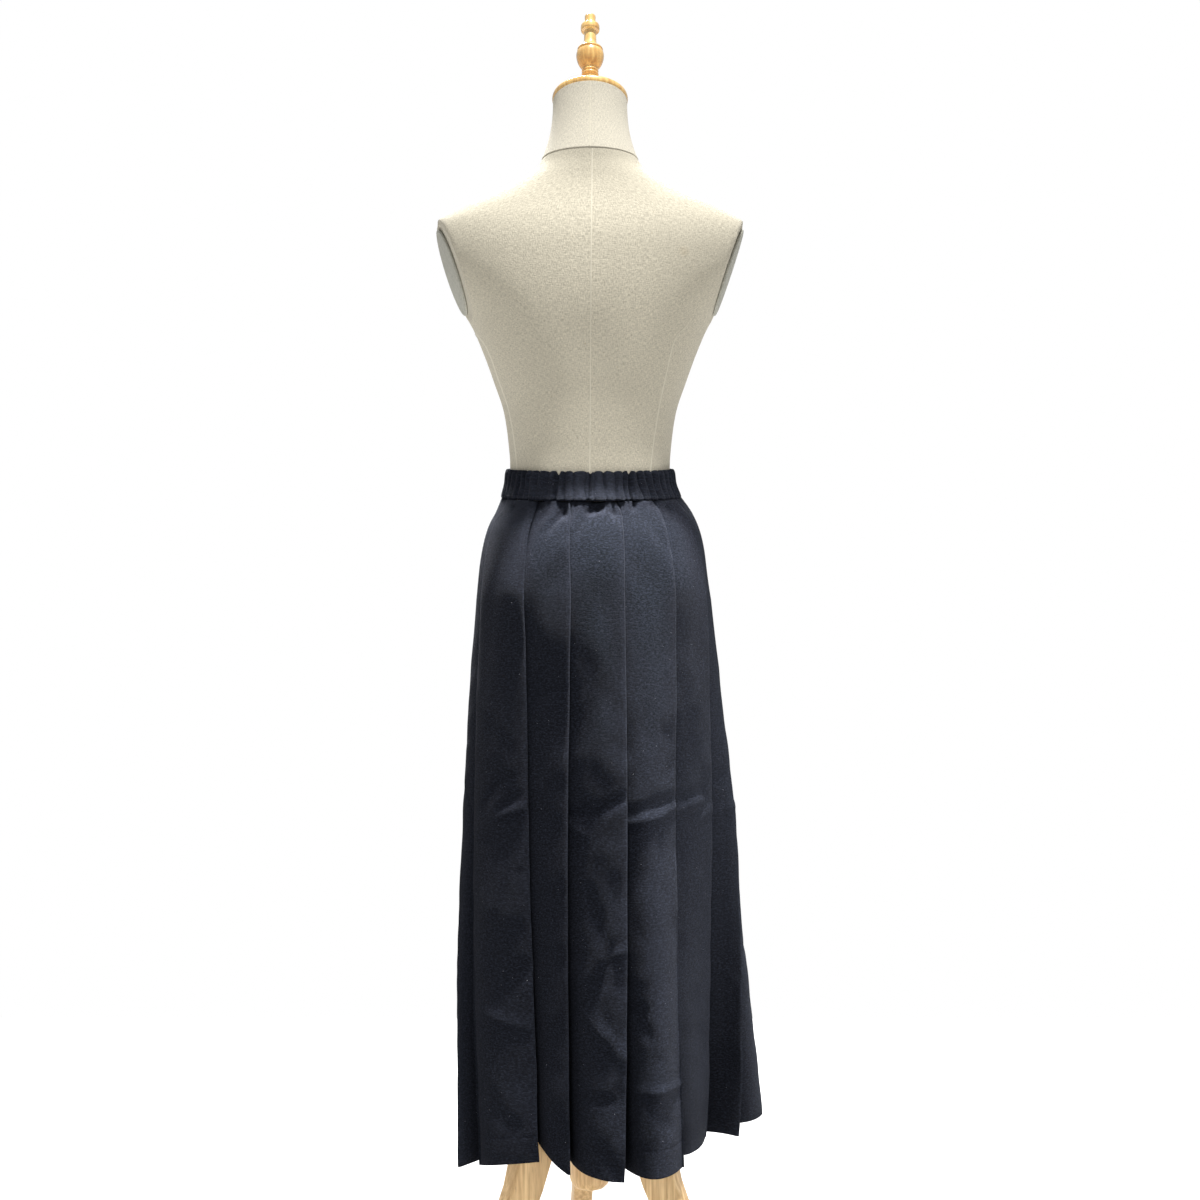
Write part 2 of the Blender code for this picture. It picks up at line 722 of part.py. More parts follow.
def build_stand(surface, parent):
    """Pole, six-sided block, turned column end and three legs."""
    pole_z = BLOCK_TOP_Z + SEAM_GAP
    pole = add_object("stand_pole", turned(POLE_PROFILE, 28), surface, parent)
    pole.location = (0.0, 0.0, pole_z * MM)
    rings = []
    corner = BLOCK_FLAT / math.cos(math.radians(30.0))
    for height in (BLOCK_BOTTOM_Z, BLOCK_TOP_Z):
        ring = []
        for i in range(6):
            angle = math.radians(5.0 + 60.0 * i)
            ring.append((corner * math.cos(angle), corner * math.sin(angle), height))
        rings.append(ring)
    add_object("stand_block", loft(rings), surface, parent, 30.0)
    column = add_object("stand_column_end", turned(COLUMN_PROFILE, 28), surface, parent)
    column.location = (0.0, 0.0, COLUMN_END_Z * MM)
    for name, azimuth in LEG_AZIMUTHS.items():
        build_leg(name, azimuth, surface, parent)


def main():
    clear_scene()
    wool = material("navy_wool", (0.018, 0.022, 0.036), 0.85)
    linen = material("linen", (0.62, 0.57, 0.47), 0.9)
    varnished = material("varnished_wood", (0.50, 0.24, 0.08), 0.25)
    pale_wood = material("pale_wood", (0.66, 0.46, 0.27), 0.5)
    axis = bpy.data.objects.new("stand_axis", None)
    axis.location = (AXIS_X * MM, AXIS_Y * MM, 0.0)
    bpy.context.collection.objects.link(axis)
    outer, inner = waistband_rings()
    add_object("skirt_waistband", wall(outer, inner, True), wool, axis, 180.0)
    add_object("skirt_back_panel", skirt_panel(LEFT_SEAM_FOLD, RIGHT_SEAM_FOLD), wool, axis, 60.0)
    add_object("skirt_front_panel", skirt_panel(RIGHT_SEAM_FOLD, LEFT_SEAM_FOLD), wool, axis, 60.0)
    build_torso(linen, axis)
    build_arm_plate("form_arm_plate_left", -1.0, linen, axis)
    build_arm_plate("form_arm_plate_right", 1.0, linen, axis)
    build_neck(linen, axis)
    build_cap_and_finial(varnished, axis)
    build_stand(pale_wood, axis)


main()
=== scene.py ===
"""Looks of the pleated maxi skirt on its dress form: cloth, linen, wood, light and camera.

Sizes are in millimetres, measured from the axis of the stand, with the back of the skirt towards -Y.
The tables of the skirt and the form repeat the part's own sizes.
"""

from collections import namedtuple
from math import atan2, copysign, cos, degrees, exp, hypot, pi, radians, sin, tan

import bmesh
import bpy
import numpy as np
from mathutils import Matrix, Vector, noise


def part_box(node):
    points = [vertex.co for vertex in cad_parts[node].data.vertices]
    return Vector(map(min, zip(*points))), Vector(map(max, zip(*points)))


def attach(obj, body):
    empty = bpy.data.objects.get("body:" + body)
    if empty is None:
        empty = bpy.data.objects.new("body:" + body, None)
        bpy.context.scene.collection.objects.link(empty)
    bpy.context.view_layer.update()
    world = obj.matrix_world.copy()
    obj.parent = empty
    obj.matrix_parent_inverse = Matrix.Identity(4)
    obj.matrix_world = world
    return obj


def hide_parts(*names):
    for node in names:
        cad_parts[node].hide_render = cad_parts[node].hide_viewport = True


MM = 0.001


def table(columns, *rows):
    """A list of rows with named columns."""
    row_type = namedtuple("Row", columns)
    return [row_type(*row) for row in rows]


# Camera, measured from the axis of the stand
CAMERA_X = 12.5
CAMERA_Y = -2050.0
CAMERA_Z = 791.0
CAMERA_LENS = 49.2
PHOTO_SIDE = 1200.0
HORIZON_ROW = 668.0

# Light. Lamps are placed in metres from the axis; a spot has an opening angle, in degrees
ROOM_LIGHT = 0.5
LAMPS = table(
    "name x y z size power spot_deg only_cloth",
    ("key_above", 0.45, -0.90, 5.0, 0.36, 265.0, 0.0, False),
    ("front_light", -0.5, 2.2, 4.2, 0.8, 230.0, 0.0, False),
    ("cloth_light", 0.18, -0.215, 3.2, 0.14, 960.0, 0.0, True),
    ("cloth_fill", -0.6, -2.6, 1.9, 0.8, 48.0, 0.0, True),
    ("cloth_side_light", 2.3, -0.5, 1.9, 0.15, 680.0, 26.0, True),
    ("cloth_front_light", -0.35, 0.95, 3.3, 0.4, 760.0, 0.0, True),
)
LAMP_AIM = (0.0, -0.08, 1.0)
SPOT_AIM = (0.14, -0.1, 0.58)
FLOOR_HALF = 1.6

# Skirt
HIP_Z = 877.0
HEM_Z = 185.0
LAYER_HIP = 2.6
LAYER_WAIST = 2.2
WAIST_TILT = 0.15
FOLD_EDGE = 2.8
HIDDEN_EASE = 1.2
WAIST_UNDERLAY = 0.8
CLOTH = 1.1
HEM_TURN_UP = 32.0
FACE_POINTS = 19
RETURN_POINTS = 7
PANEL_GAP = 0.3
LEFT_SEAM_FOLD = 14
RIGHT_SEAM_FOLD = 7
CLOTH_SWELL = 2.1
CLOTH_SWELL_LENGTH = 100.0
SWELL_TURN = 2.2
SWELL_TOP = (1000.0, 900.0)
SMALL_CREASE = 0.6
SMALL_CREASE_TURN = 4.0
SMALL_CREASE_LENGTH = 60.0
SMALL_CREASE_TOP = (820.0, 660.0)
HIP_EASE = 45.0
HIP_EASE_STEPS = 60
HIP_LINES_FROM_Z = 780.0
HEM_GROOVE = 0.18
HEM_GROOVE_WIDTH = 1.3
FACE_BREADTH = 60.0
SKIRT_MIDDLE = (12.0, 8.0)
FOLD_ROUNDING = 0.42
ROWS_BELOW_HIP = 142
ROWS_ABOVE_HIP = 44
# Rings closer together: up from the hem, and beside the groove that its stitches pull in
HEM_STEPS = [0.0, 0.8, 3.0, 8.0, 14.0, 20.0, 26.0]
GROOVE_STEPS = [-2.6, -1.4, -0.5, 0.5, 1.4, 2.6]

# Layers of the cloth's unevenness: how fine each is, its part, and where its pattern starts
SWELLS = table(
    "fineness part start",
    (1.0, 1.0, (0.0, 0.0, 0.0)),
    (2.7, 0.45, (5.0, 1.0, 3.0)),
    (5.3, 0.11, (2.0, 7.0, 1.0)),
)

# The tables give five places across a face. The first and the last lie under its neighbours where its
# ends are hidden: the key says whether its start and its end are, and the row how far across each is
FACE_PLACES = 5
HEM_PLACES = {
    (True, True): (0.0, 0.3, 0.5, 0.7, 1.0),
    (True, False): (0.0, 0.3, 0.55, 0.8, 1.0),
    (False, True): (0.0, 0.2, 0.45, 0.7, 1.0),
    (False, False): (0.0, 0.25, 0.5, 0.75, 1.0),
}

# The folds round the skirt: on top of the face after it (1) or before it (-1), its angle at waist and
# hip, how deep its hidden cloth goes, and at the hem its outer and inner edges, its sway on the way
# down and where the face after it bends
FOLDS = table(
    "name on_top waist_deg hip_deg underlay over_x over_y over_lift"
    " under_x under_y under_lift sway bend_x bend_y",
    ("left_box", -1, -163, -161, 34, -130.5, -64, 4, -128, -36, 5, -9, -122, -90),
    ("box", 1, -127, -125, 34, -63, -95, 17, -61, -71, 35, -2, -48, -101),
    ("back_left", 1, -104, -101, 44, -26, -100, 3, -26, -46, 9, -4, -14, -123),
    ("back_middle", 1, -74.5, -76, 46, 38.5, -120, 0, 38, -60, 3, 3, 75, -168),
    ("back_right", 1, -49, -48, 46, 111.5, -70, 3, 116, -24, 4, -4, 135, -14),
    ("right_back", 1, -20, -18, 46, 148.5, 65, 1, 113, 82, 4, 6, 160, 96),
    ("right", 1, 8, 8, 14, 190, 72, 0, 160, 118, 5, 18, 214, 96),
    ("right_front", 1, 32, 32, 40, 230, 150, 8, 186, 136, 6, 8, 178, 168),
    ("front_right", 1, 53, 53, 38, 160, 184, 2, 126, 146, 5, 3, 118, 188),
    ("front_middle", 1, 74, 74, 38, 80, 191, 0, 66, 142, 5, 0, 42, 180),
    ("front_left", -1, 95, 95, 38, 0, 183, 1, 10, 134, 6, 0, -40, 176),
    ("left_front", -1, 116, 116, 38, -74, 154, 0, -42, 116, 5, -3, -106, 132),
    ("left_middle", -1, 137, 137, 38, -131, 98, 2, -84, 80, 6, -6, -150, 62),
    ("left", -1, 158, 158, 38, -158, 22, 0, -110, 24, 4, -8, -158, -10),
    ("left_back", -1, 180, 180, 34, -157, -62, 1, -140, -13, 3, -9, -146, -54),
)

# The skirt's outline while the pleats lie flat: half-widths from the axis to each side
LEVELS = table(
    "z left right back front",
    (1003.5, 110, 114.5, 94.5, 92.5),
    (987, 117, 127, 101, 99),
    (967, 126.5, 136.5, 109, 107),
    (941, 133.5, 143.5, 115, 113),
    (910, 138.5, 148, 119, 117),
    (877, 142, 151.5, 121, 120),
)

# Creases of the face after each fold: where each starts and ends across it (0 to 1) and in height,
# how far it stands out or sinks in, and its half-width. Columns: start, start_z, end, end_z, out, width
CREASES = {
    "left_box": [
        (0.29, 622, 0.68, 661, -2.4, 5),
        (0.61, 619, 0.85, 638, -2.0, 4),
        (0.62, 615, 0.95, 624, 2.0, 4),
        (0.21, 584, 0.44, 579, -1.6, 4),
        (0.24, 376, 0.92, 363, 1.8, 7),
        (0.94, 436, 0.53, 387, -2.0, 7),
        (0.23, 284, 0.72, 244, -1.2, 8),
    ],
    "box": [
        (0.24, 869, 0.78, 915, 1.2, 9),
        (0.36, 753, 0.88, 765, -1.0, 7),
    ],
    "back_left": [
        (0.02, 603, 0.30, 594, 1.8, 5),
        (0.02, 617, 0.53, 623, -2.2, 6),
        (0.53, 623, 1.0, 639, -2.4, 6),
        (0.36, 529, 0.68, 454, -1.8, 7),
        (0.71, 449, 1.0, 458, 1.8, 5),
        (0.73, 449, 0.38, 395, -2.0, 6),
        (0.37, 375, 0.98, 332, 2.2, 8),
        (0.29, 278, 0.85, 281, -1.6, 6),
        (0.62, 222, 0.98, 190, -2.0, 6),
    ],
    "back_middle": [
        (0.0, 607, 0.65, 615, 2.4, 5),
        (0.65, 615, 0.98, 626, 2.2, 5),
        (0.1, 622, 0.9, 634, -2.0, 7),
        (0.15, 384, 0.13, 289, -2.8, 8),
        (0.05, 384, 0.53, 325, -2.4, 6),
        (0.35, 348, 0.57, 325, 1.8, 7),
        (0.05, 289, 0.98, 289, 2.4, 5),
        (0.21, 282, 0.72, 244, -1.8, 7),
    ],
    "back_right": [
        (0.0, 618, 0.65, 629, 2.0, 5),
        (0.0, 632, 0.65, 641, -1.6, 6),
        (0.68, 645, 0.78, 626, -1.4, 4),
        (0.47, 604, 0.97, 615, 1.8, 5),
    ],
    "right_back": [
        (0.0, 650, 0.69, 659, -1.8, 5),
        (0.0, 609, 0.97, 617, 2.2, 5),
        (0.42, 614, 0.73, 591, -1.8, 5),
        (0.02, 558, 0.35, 545, -1.5, 5),
        (0.14, 436, 0.95, 456, 2.0, 7),
        (0.07, 409, 0.98, 384, -2.0, 7),
    ],
    "right": [
        (0.1, 628, 0.8, 612, 2.0, 5),
        (0.15, 402, 0.85, 428, -2.0, 7),
    ],
    "right_front": [
        (0.1, 640, 0.75, 622, -2.0, 6),
        (0.25, 384, 0.9, 352, 2.2, 7),
        (0.2, 520, 0.5, 470, -1.6, 6),
    ],
    "front_right": [
        (0.05, 612, 0.7, 622, 2.2, 5),
        (0.4, 441, 0.8, 390, -2.0, 7),
        (0.2, 292, 0.9, 300, 1.8, 6),
    ],
    "front_middle": [
        (0.1, 624, 0.9, 611, 2.2, 5),
        (0.25, 372, 0.7, 402, -2.0, 7),
        (0.5, 262, 0.85, 236, -1.6, 6),
    ],
    "front_left": [
        (0.1, 630, 0.9, 622, -2.0, 6),
        (0.2, 470, 0.55, 520, -1.6, 6),
        (0.15, 344, 0.8, 362, 2.0, 7),
    ],
    "left_front": [
        (0.1, 604, 0.85, 615, 2.2, 5),
        (0.4, 402, 0.85, 440, -2.0, 7),
    ],
    "left_middle": [
        (0.1, 618, 0.8, 607, 2.0, 5),
        (0.3, 300, 0.9, 280, 1.6, 6),
    ],
    "left": [
        (0.1, 611, 0.9, 622, 2.0, 5),
        (0.2, 392, 0.8, 430, -2.0, 7),
    ],
    "left_back": [
        (0.2, 640, 0.8, 620, -1.8, 5),
        (0.2, 350, 0.9, 372, 1.6, 7),
    ],
}

# Dents of the cloth just under the waistband, seen from behind: x, how far down, half-width and depth
BACK_PITS = table(
    "x low_z half_width depth",
    (-63, 980, 8, 3.4),
    (-31.7, 968, 6, 6.2),
    (3, 972, 9, 5.4),
    (14, 976, 9, 4.2),
    (31, 970, 5, 5.6),
    (54, 979, 3.5, 5.0),
    (76, 983, 6, 2.6),
)
BACK_HALF_WIDTH = 92.0
WAIST_REACH = 60.0
WAIST_ROLL = 0.7
WAIST_ROLL_LENGTH = 14.0

# Gathers under the band at the sides and in front: how many, how deep and how far down they go
PITS_ELSEWHERE = 22
PITS_ELSEWHERE_DEPTH = 3.6
PITS_ELSEWHERE_REACH = (16.0, 12.0)

# Soft lines and dimples of the back near the waist and hip: where each starts and ends as x and z
HIP_LINES = table(
    "x z end_x end_z out width",
    (-35, 976, -48, 956, -5.0, 4),
    (-4, 978, -12, 953, -5.0, 4),
    (-41, 980, -54, 960, 3.0, 4.5),
    (-11, 982, -19, 956, 3.0, 4.5),
    (30, 978, 38, 962, -3.6, 3.5),
    (-10, 966, -17, 919, -1.4, 4),
    (-66, 868, -34, 916, -2.2, 12),
    (-52, 900, -28, 936, 1.8, 9),
    (6, 880, 14, 872, -2.6, 13),
    (-2, 846, 20, 862, -1.6, 12),
    (74, 962, 98, 930, -1.6, 8),
    (52, 905, 84, 868, -1.8, 14),
    (24, 930, 44, 890, 1.8, 12),
    (-96, 900, -84, 850, 1.6, 12),
)

# Waistband
BAND_BOTTOM_Z = 1003.5
BAND_HEIGHT = 35.0
BAND_GAP = 0.45
GATHERS = 56
GATHER_DEPTH = 4.6
POINTS_PER_GATHER = 14
BAND_ROWS_UP = 30
DEEP_GATHERS = (-38.0, -0.5, 45.0)
DEEP_GATHER_X = 100.0
BACK_PUFF = 2.2
# The top edge: how much its gathers rise and how far it is let down, from which part of the height
RUFFLE = (3.0, 2.2)
RUFFLE_FROM = 0.80
THINNEST_CASING = 0.7
# The band's inside, from its bottom edge up, and how far its outside rolls out from that
BAND_ROWS = table(
    "up left right back front",
    (0.0, 106.5, 109.5, 89.0, 87.5),
    (0.5, 101.6, 102.2, 82.4, 82.4),
    (1.0, 100.3, 100.5, 80.7, 81.1),
)
BAND_ROLLS = table(
    "up out",
    (0.0, 2.4),
    (0.04, 4.0),
    (0.12, 4.7),
    (0.5, 5.0),
    (0.8, 4.9),
    (0.92, 4.2),
    (1.0, 2.6),
)

# Stitches along the waistband, in rows at parts of its height; each thread is thinner at its ends
STITCH_LENGTH = 2.2
STITCH_STEP = 3.4
STITCH_RADIUS = 0.22
STITCH_LIFT = 0.12
STITCH_ROWS = (0.08, 0.13)
STITCH_RINGS = ((0.0, 0.5), (0.3, 1.0), (0.7, 1.0), (1.0, 0.5))

# Dress form, its sections from the lower edge up to the neck
FORM_SECTIONS = table(
    "z half_width back front power",
    (762, 111, 84, 82, 2),
    (772, 117, 90, 88, 2),
    (800, 123, 97, 94, 2),
    (840, 127.5, 103, 98.5, 2),
    (875, 129, 105, 100, 2),
    (905, 127, 103.5, 98.5, 2),
    (935, 120.5, 99, 95.5, 2),
    (962, 109.5, 89.5, 87, 2),
    (985, 102.3, 82.8, 82, 2),
    (1008, 100.3, 80.6, 80.4, 2),
    (1030, 99.6, 79.8, 79.8, 2),
    (1060, 100.6, 80.5, 81, 2),
    (1110, 107.5, 86, 91, 2.15),
    (1148, 120, 93, 101, 2.2),
    (1185, 133.5, 99, 111, 2.25),
    (1220, 149, 103, 114, 2.3),
    (1250, 169, 104, 109, 2.3),
    (1280, 189, 102, 98, 2.3),
    (1310, 201, 97, 85, 2.3),
    (1335, 200, 88, 71, 2.3),
    (1355, 178, 78, 61, 2.25),
    (1370, 147, 71, 56, 2.2),
    (1385, 115, 65, 53.5, 2.1),
    (1400, 84, 61, 54, 2.05),
    (1412, 68, 58.5, 55.5, 2),
    (1424.1, 60, 57, 56.5, 2),
)
# The flat ends of the shoulders: x and height at their top and bottom, and how much each is turned
ARM_CUT_TOP = (191.0, 1343.5)
ARM_CUT_BOTTOM = (150.0, 1222.0)
ARM_CUT_TURN = {-1.0: 0.18, 1.0: 0.06}
ARM_PLATE_THICK = 4.0
ARM_PLATE_HALF_DEPTH = 41.0
ARM_PLATE_HALF_HEIGHT = 53.0
ARM_PLATE_Z = 1284.0
NECK_SEAM_Z = 1424.4
NECK_TOP_Z = 1500.0
NECK_TOP_Y = 8.0
NECK_TOP_TILT = radians(14.0)
NECK_RADIUS = 46.6
NECK_SEAM_RADIUS = 50.0
NECK_FLARE_ACROSS = 14.2
NECK_FLARE_ALONG = 11.4
NECK_EDGE = 0.8
NECK_EDGE_PART = 0.006
NECK_FOOT_PARTS = [0.0, 0.004, 0.009, 0.016, 0.026]
FORM_AROUND = 160
FORM_ROWS = 170
NECK_AROUND = 96
PLATE_AROUND = 72
PLATE_BACK = 3.0
# Across the plate's rim: how far out from the shoulder, and its part of the full size
PLATE_RIM = ((0.4, 0.985), (1.2, 1.0), (2.6, 1.0), (3.5, 0.985), (ARM_PLATE_THICK, 0.94))
LINEN_ROUND = 0.85
# The hollow along the spine, and a faint stain at the right shoulder
SPINE_Z = 1172.0
SPINE_DEPTH = 4.5
SPINE_HALF_WIDTH = 34.0
SPINE_REACH_UP = 48.0
SPINE_REACH_DOWN = 85.0
STAIN = (115.0, -94.0, 1290.0)

# Sewn seams of the linen: across a seam, where its ribbon's points lie and how far each is raised,
# and the way of each seam down the torso
SEAM_WIDTH = 1.7
SEAM_RAISE = 0.45
RIBBON = ((-1.0, -0.3), (-0.45, 1.0), (0.0, 0.55), (0.45, 1.0), (1.0, -0.3))
PRINCESS_LEFT = table(
    "x z",
    (-143, 1208), (-126, 1182), (-112, 1144), (-99, 1104), (-90, 1042), (-90, 1000),
)
PRINCESS_RIGHT = table(
    "x z",
    (118, 1206), (104, 1190), (93, 1148), (84, 1105), (75, 1042), (75, 1000),
)
CENTRE_BACK = table("x z", (3, 1423), (1.5, 1230), (0, 1030), (0, 1000))


def mix(first, second, part):
    """The point or number a part of the way from first to second."""
    if isinstance(first, (int, float)):
        return first + (second - first) * part
    return tuple(a + (b - a) * part for a, b in zip(first, second))


def curve_through(rows, key, at):
    """The row of named sizes at height `at`, on a smooth curve through the table's rows."""
    rows = sorted(rows, key=lambda row: row[key])
    at = min(max(at, rows[0][key]), rows[-1][key])
    low = 0
    while low < len(rows) - 2 and rows[low + 1][key] < at:
        low += 1
    before, start, end, after = (rows[min(max(k, 0), len(rows) - 1)] for k in range(low - 1, low + 3))
    span = end[key] - start[key]
    part = (at - start[key]) / span
    square = part * part
    cube = square * part
    values = []
    for earlier, first, last, later in zip(before, start, end, after):
        slope_in = (last - earlier) / (end[key] - before[key]) * span
        slope_out = (later - first) / (after[key] - start[key]) * span
        value = (2 * cube - 3 * square + 1) * first + (cube - 2 * square + part) * slope_in
        values.append(value + (3 * square - 2 * cube) * last + (cube - square) * slope_out)
    return type(start)(*values)


def once_round(count):
    """Angles once round, in equal steps."""
    return [2.0 * pi * k / count for k in range(count)]


def on_circle(angle, turn=1.0, along=0.0):
    """A place for soft random patterns that join up all round the skirt."""
    return Vector((cos(angle) * turn, sin(angle) * turn, along))


def unit(x, y):
    """The same direction, one millimetre long."""
    length = max(hypot(x, y), 1e-6)
    return x / length, y / length


def smooth_step(low, high, value):
    """0 below low, 1 above high, and a soft rise between them."""
    part = min(max((value - low) / (high - low), 0.0), 1.0)
    return part * part * (3.0 - 2.0 * part)


def bell(distance, width):
    """1 in the middle of a soft bell shape, fading to 0 on both sides."""
    return exp(-((distance / width) ** 2))


def plan_length(first, second):
    """Distance between two points, seen from above."""
    return hypot(first[0] - second[0], first[1] - second[1])


def place(point):
    """A point from the tables, in metres in the shared frame."""
    return Vector((point[0] * MM + AXIS.x, point[1] * MM + AXIS.y, point[2] * MM))


# Meshes


def add_object(name, data):
    """A named object in the scene."""
    made = bpy.data.objects.new(name, data)
    bpy.context.scene.collection.objects.link(made)
    return made


def mesh_object(name, bm, material):
    """A named object from a bmesh."""
    mesh = bpy.data.meshes.new(name)
    bm.to_mesh(mesh)
    bm.free()
    mesh.materials.append(material)
    return add_object(name, mesh)


def finish_piece(name, bm, material):
    """A piece from a bmesh, riding on the part's one body."""
    made = mesh_object(name, bm, material)
    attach(made, "root")
    return made


def stand_for(nodes):
    """Hides the solids of the nodes that the pieces stand for."""
    for piece, node in nodes:
        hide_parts(node)


def join_rows(bm, rows, closed, across=None):
    """Smooth faces between rows of points, with how far across the cloth each point lies, in metres."""
    uv_layer = bm.loops.layers.uv.get("cloth")
    count = len(rows[0])
    for low, high in zip(rows, rows[1:]):
        for k in range(count if closed else count - 1):
            j = (k + 1) % count
            face = bm.faces.new((low[k], low[j], high[j], high[k]))
            face.smooth = True
            if across:
                for loop, step in zip(face.loops, (k, k + 1, k + 1, k)):
                    loop[uv_layer].uv = (across[step], loop.vert.co.z)


# The skirt


def fold_at(index):
    """The fold of that number, counted on round the skirt."""
    return FOLDS[index % len(FOLDS)]


def face_ends(index):
    """Whether the face after a fold starts and ends under its neighbours."""
    return fold_at(index).on_top == 1, fold_at(index + 1).on_top == -1


def across_face(values):
    """Values for each point across a face, from those at its five places."""
    places = range(FACE_PLACES)
    return np.interp(np.linspace(0, places[-1], FACE_POINTS), places, values)


def level_deg(index, waist_part):
    """Angle of a fold at a level, with whole turns added so that the folds keep rising."""
    fold = fold_at(index)
    return mix(fold.hip_deg, fold.waist_deg, waist_part) + 360.0 * (index // len(FOLDS))


def face_depth(index, deg, waist_part, step):
    """How deep the face after a fold lies under the outline, as a slanted shingle."""
    left = level_deg(index, waist_part)
    right = level_deg(index + 1, waist_part)
    starts_under, ends_under = face_ends(index)
    return mix(step * starts_under, step * ends_under, (deg - left) / (right - left))


def flat_point(level, deg, depth):
    """A point on the level's outline, moved in by a depth."""
    angle = radians(deg)
    across = cos(angle)
    along = sin(angle)
    half_depth = level.back if along < 0 else level.front
    centre = (level.right - level.left) / 2.0
    half_width = (level.right + level.left) / 2.0
    return centre + (half_width - depth) * across, (half_depth - depth) * along


def tuck_deg(fold, level, waist_part):
    """How many degrees of the outline the hidden part of a pleat takes; less at the waist."""
    radius = (level.left + level.right + level.back + level.front) / 4.0
    return degrees(fold.underlay * mix(1.0, WAIST_UNDERLAY, waist_part) / radius)


def flat_face(index, level, waist_part):
    """Points across a face, with the edges that its neighbours hide, while the pleats lie flat."""
    index += len(FOLDS)
    step = 2.0 * mix(LAYER_HIP, LAYER_WAIST, waist_part)
    left = level_deg(index, waist_part)
    right = level_deg(index + 1, waist_part)
    starts_under, ends_under = face_ends(index)
    shown = FACE_PLACES - starts_under - ends_under
    degs = [mix(left, right, k / (shown - 1)) for k in range(shown)]
    if starts_under:
        degs.insert(0, left - tuck_deg(fold_at(index), level, waist_part))
    if ends_under:
        degs.append(right + tuck_deg(fold_at(index + 1), level, waist_part))
    points = []
    for deg in across_face(degs):
        if deg < left:
            depth = step + face_depth(index - 1, deg, waist_part, step)
        elif deg > right:
            depth = step + face_depth(index + 1, deg, waist_part, step)
        else:
            depth = face_depth(index, deg, waist_part, step)
        points.append(flat_point(level, deg, depth))
    return points


def flat_return(index, level, waist_part):
    """The cloth between the outer and the inner edge of a fold, while the pleats lie flat."""
    index += len(FOLDS)
    fold = fold_at(index)
    layer = mix(LAYER_HIP, LAYER_WAIST, waist_part)
    cover = index - 1 if fold.on_top == 1 else index
    left = level_deg(index, waist_part)
    hidden = left - fold.on_top * tuck_deg(fold, level, waist_part)
    points = []
    for k in range(RETURN_POINTS):
        deg = mix(left, hidden, k / (RETURN_POINTS - 1))
        points.append(flat_point(level, deg, layer + face_depth(cover, deg, waist_part, 2.0 * layer)))
    return points


def fold_edge(fold, is_under):
    """The inner or the outer edge of a fold at the hem."""
    if is_under:
        return fold.under_x, fold.under_y, HEM_Z + fold.under_lift
    return fold.over_x, fold.over_y, HEM_Z + fold.over_lift


def hem_face(index):
    """Points across a face at the hem, where the pleats stand open."""
    starts_under, ends_under = face_ends(index)
    fold = FOLDS[index]
    start = fold_edge(fold, starts_under)
    end = fold_edge(fold_at(index + 1), ends_under)
    bend = (fold.bend_x, fold.bend_y, (start[2] + end[2]) / 2.0)
    points = []
    for part in across_face(HEM_PLACES[starts_under, ends_under]):
        points.append(mix(mix(start, bend, part), mix(bend, end, part), part))
    return points


def hanging_face(index, fall, flat, hem):
    """Points across a face at a part of the fall from hip to hem."""
    starts_under, ends_under = face_ends(index)
    last = FACE_PLACES - 1.0
    points = []
    for k, (start, end) in enumerate(zip(flat, hem)):
        at = last * k / (FACE_POINTS - 1)
        hidden = max(0.0, (1.0 - at) * starts_under, (at + 1.0 - last) * ends_under)
        x, y = mix(start, end[:2], mix(fall, fall ** HIDDEN_EASE, hidden))
        swing = mix(FOLDS[index].sway, fold_at(index + 1).sway, at / last) * sin(pi * fall)
        points.append((x + swing, y, mix(HIP_Z, end[2], fall)))
    return points


def hanging_return(index, over, under, fall, flat):
    """The cloth between the two edges of a fold, kept a fold's width clear of the faces beside it."""
    width = mix(LAYER_HIP, FOLD_EDGE, fall) * FOLDS[index].on_top
    in_x, in_y = unit(under[0] - over[0], under[1] - over[1])
    first = (over[0] + width * in_y, over[1] - width * in_x, over[2])
    last = (under[0] - width * in_y, under[1] + width * in_x, under[2])
    middle = RETURN_POINTS // 2
    round_x = flat[middle][0] - (flat[0][0] + flat[-1][0]) / 2.0
    round_y = flat[middle][1] - (flat[0][1] + flat[-1][1]) / 2.0
    points = []
    for k in range(RETURN_POINTS):
        part = k / (RETURN_POINTS - 1)
        rest = (1.0 - fall) ** 2 * 4.0 * part * (1.0 - part)
        x, y, z = mix(first, last, part)
        points.append((x + rest * round_x, y + rest * round_y, z))
    return points


def rows_below_hip():
    """The skirt's rings from hem to hip, each with its height above the hem."""
    count = len(FOLDS)
    hip = LEVELS[-1]
    flat_faces = [flat_face(i, hip, 0.0) for i in range(count)]
    flat_returns = [flat_return(i, hip, 0.0) for i in range(count)]
    hem_faces = [hem_face(i) for i in range(count)]
    length = HIP_Z - HEM_Z
    ups = HEM_STEPS + [HEM_TURN_UP + step for step in GROOVE_STEPS]
    ups += list(np.linspace(HEM_TURN_UP + 6.0, length, ROWS_BELOW_HIP, endpoint=False))
    rows = []
    for up in ups:
        fall = 1.0 - up / length
        faces = [hanging_face(i, fall, flat_faces[i], hem_faces[i]) for i in range(count)]
        row = []
        for i, fold in enumerate(FOLDS):
            over, under = (faces[i - 1][-1], faces[i][0])[:: fold.on_top]
            back = hanging_return(i, over, under, fall, flat_returns[i])
            row.append((back[:: fold.on_top], faces[i]))
        rows.append((up, row))
    return rows


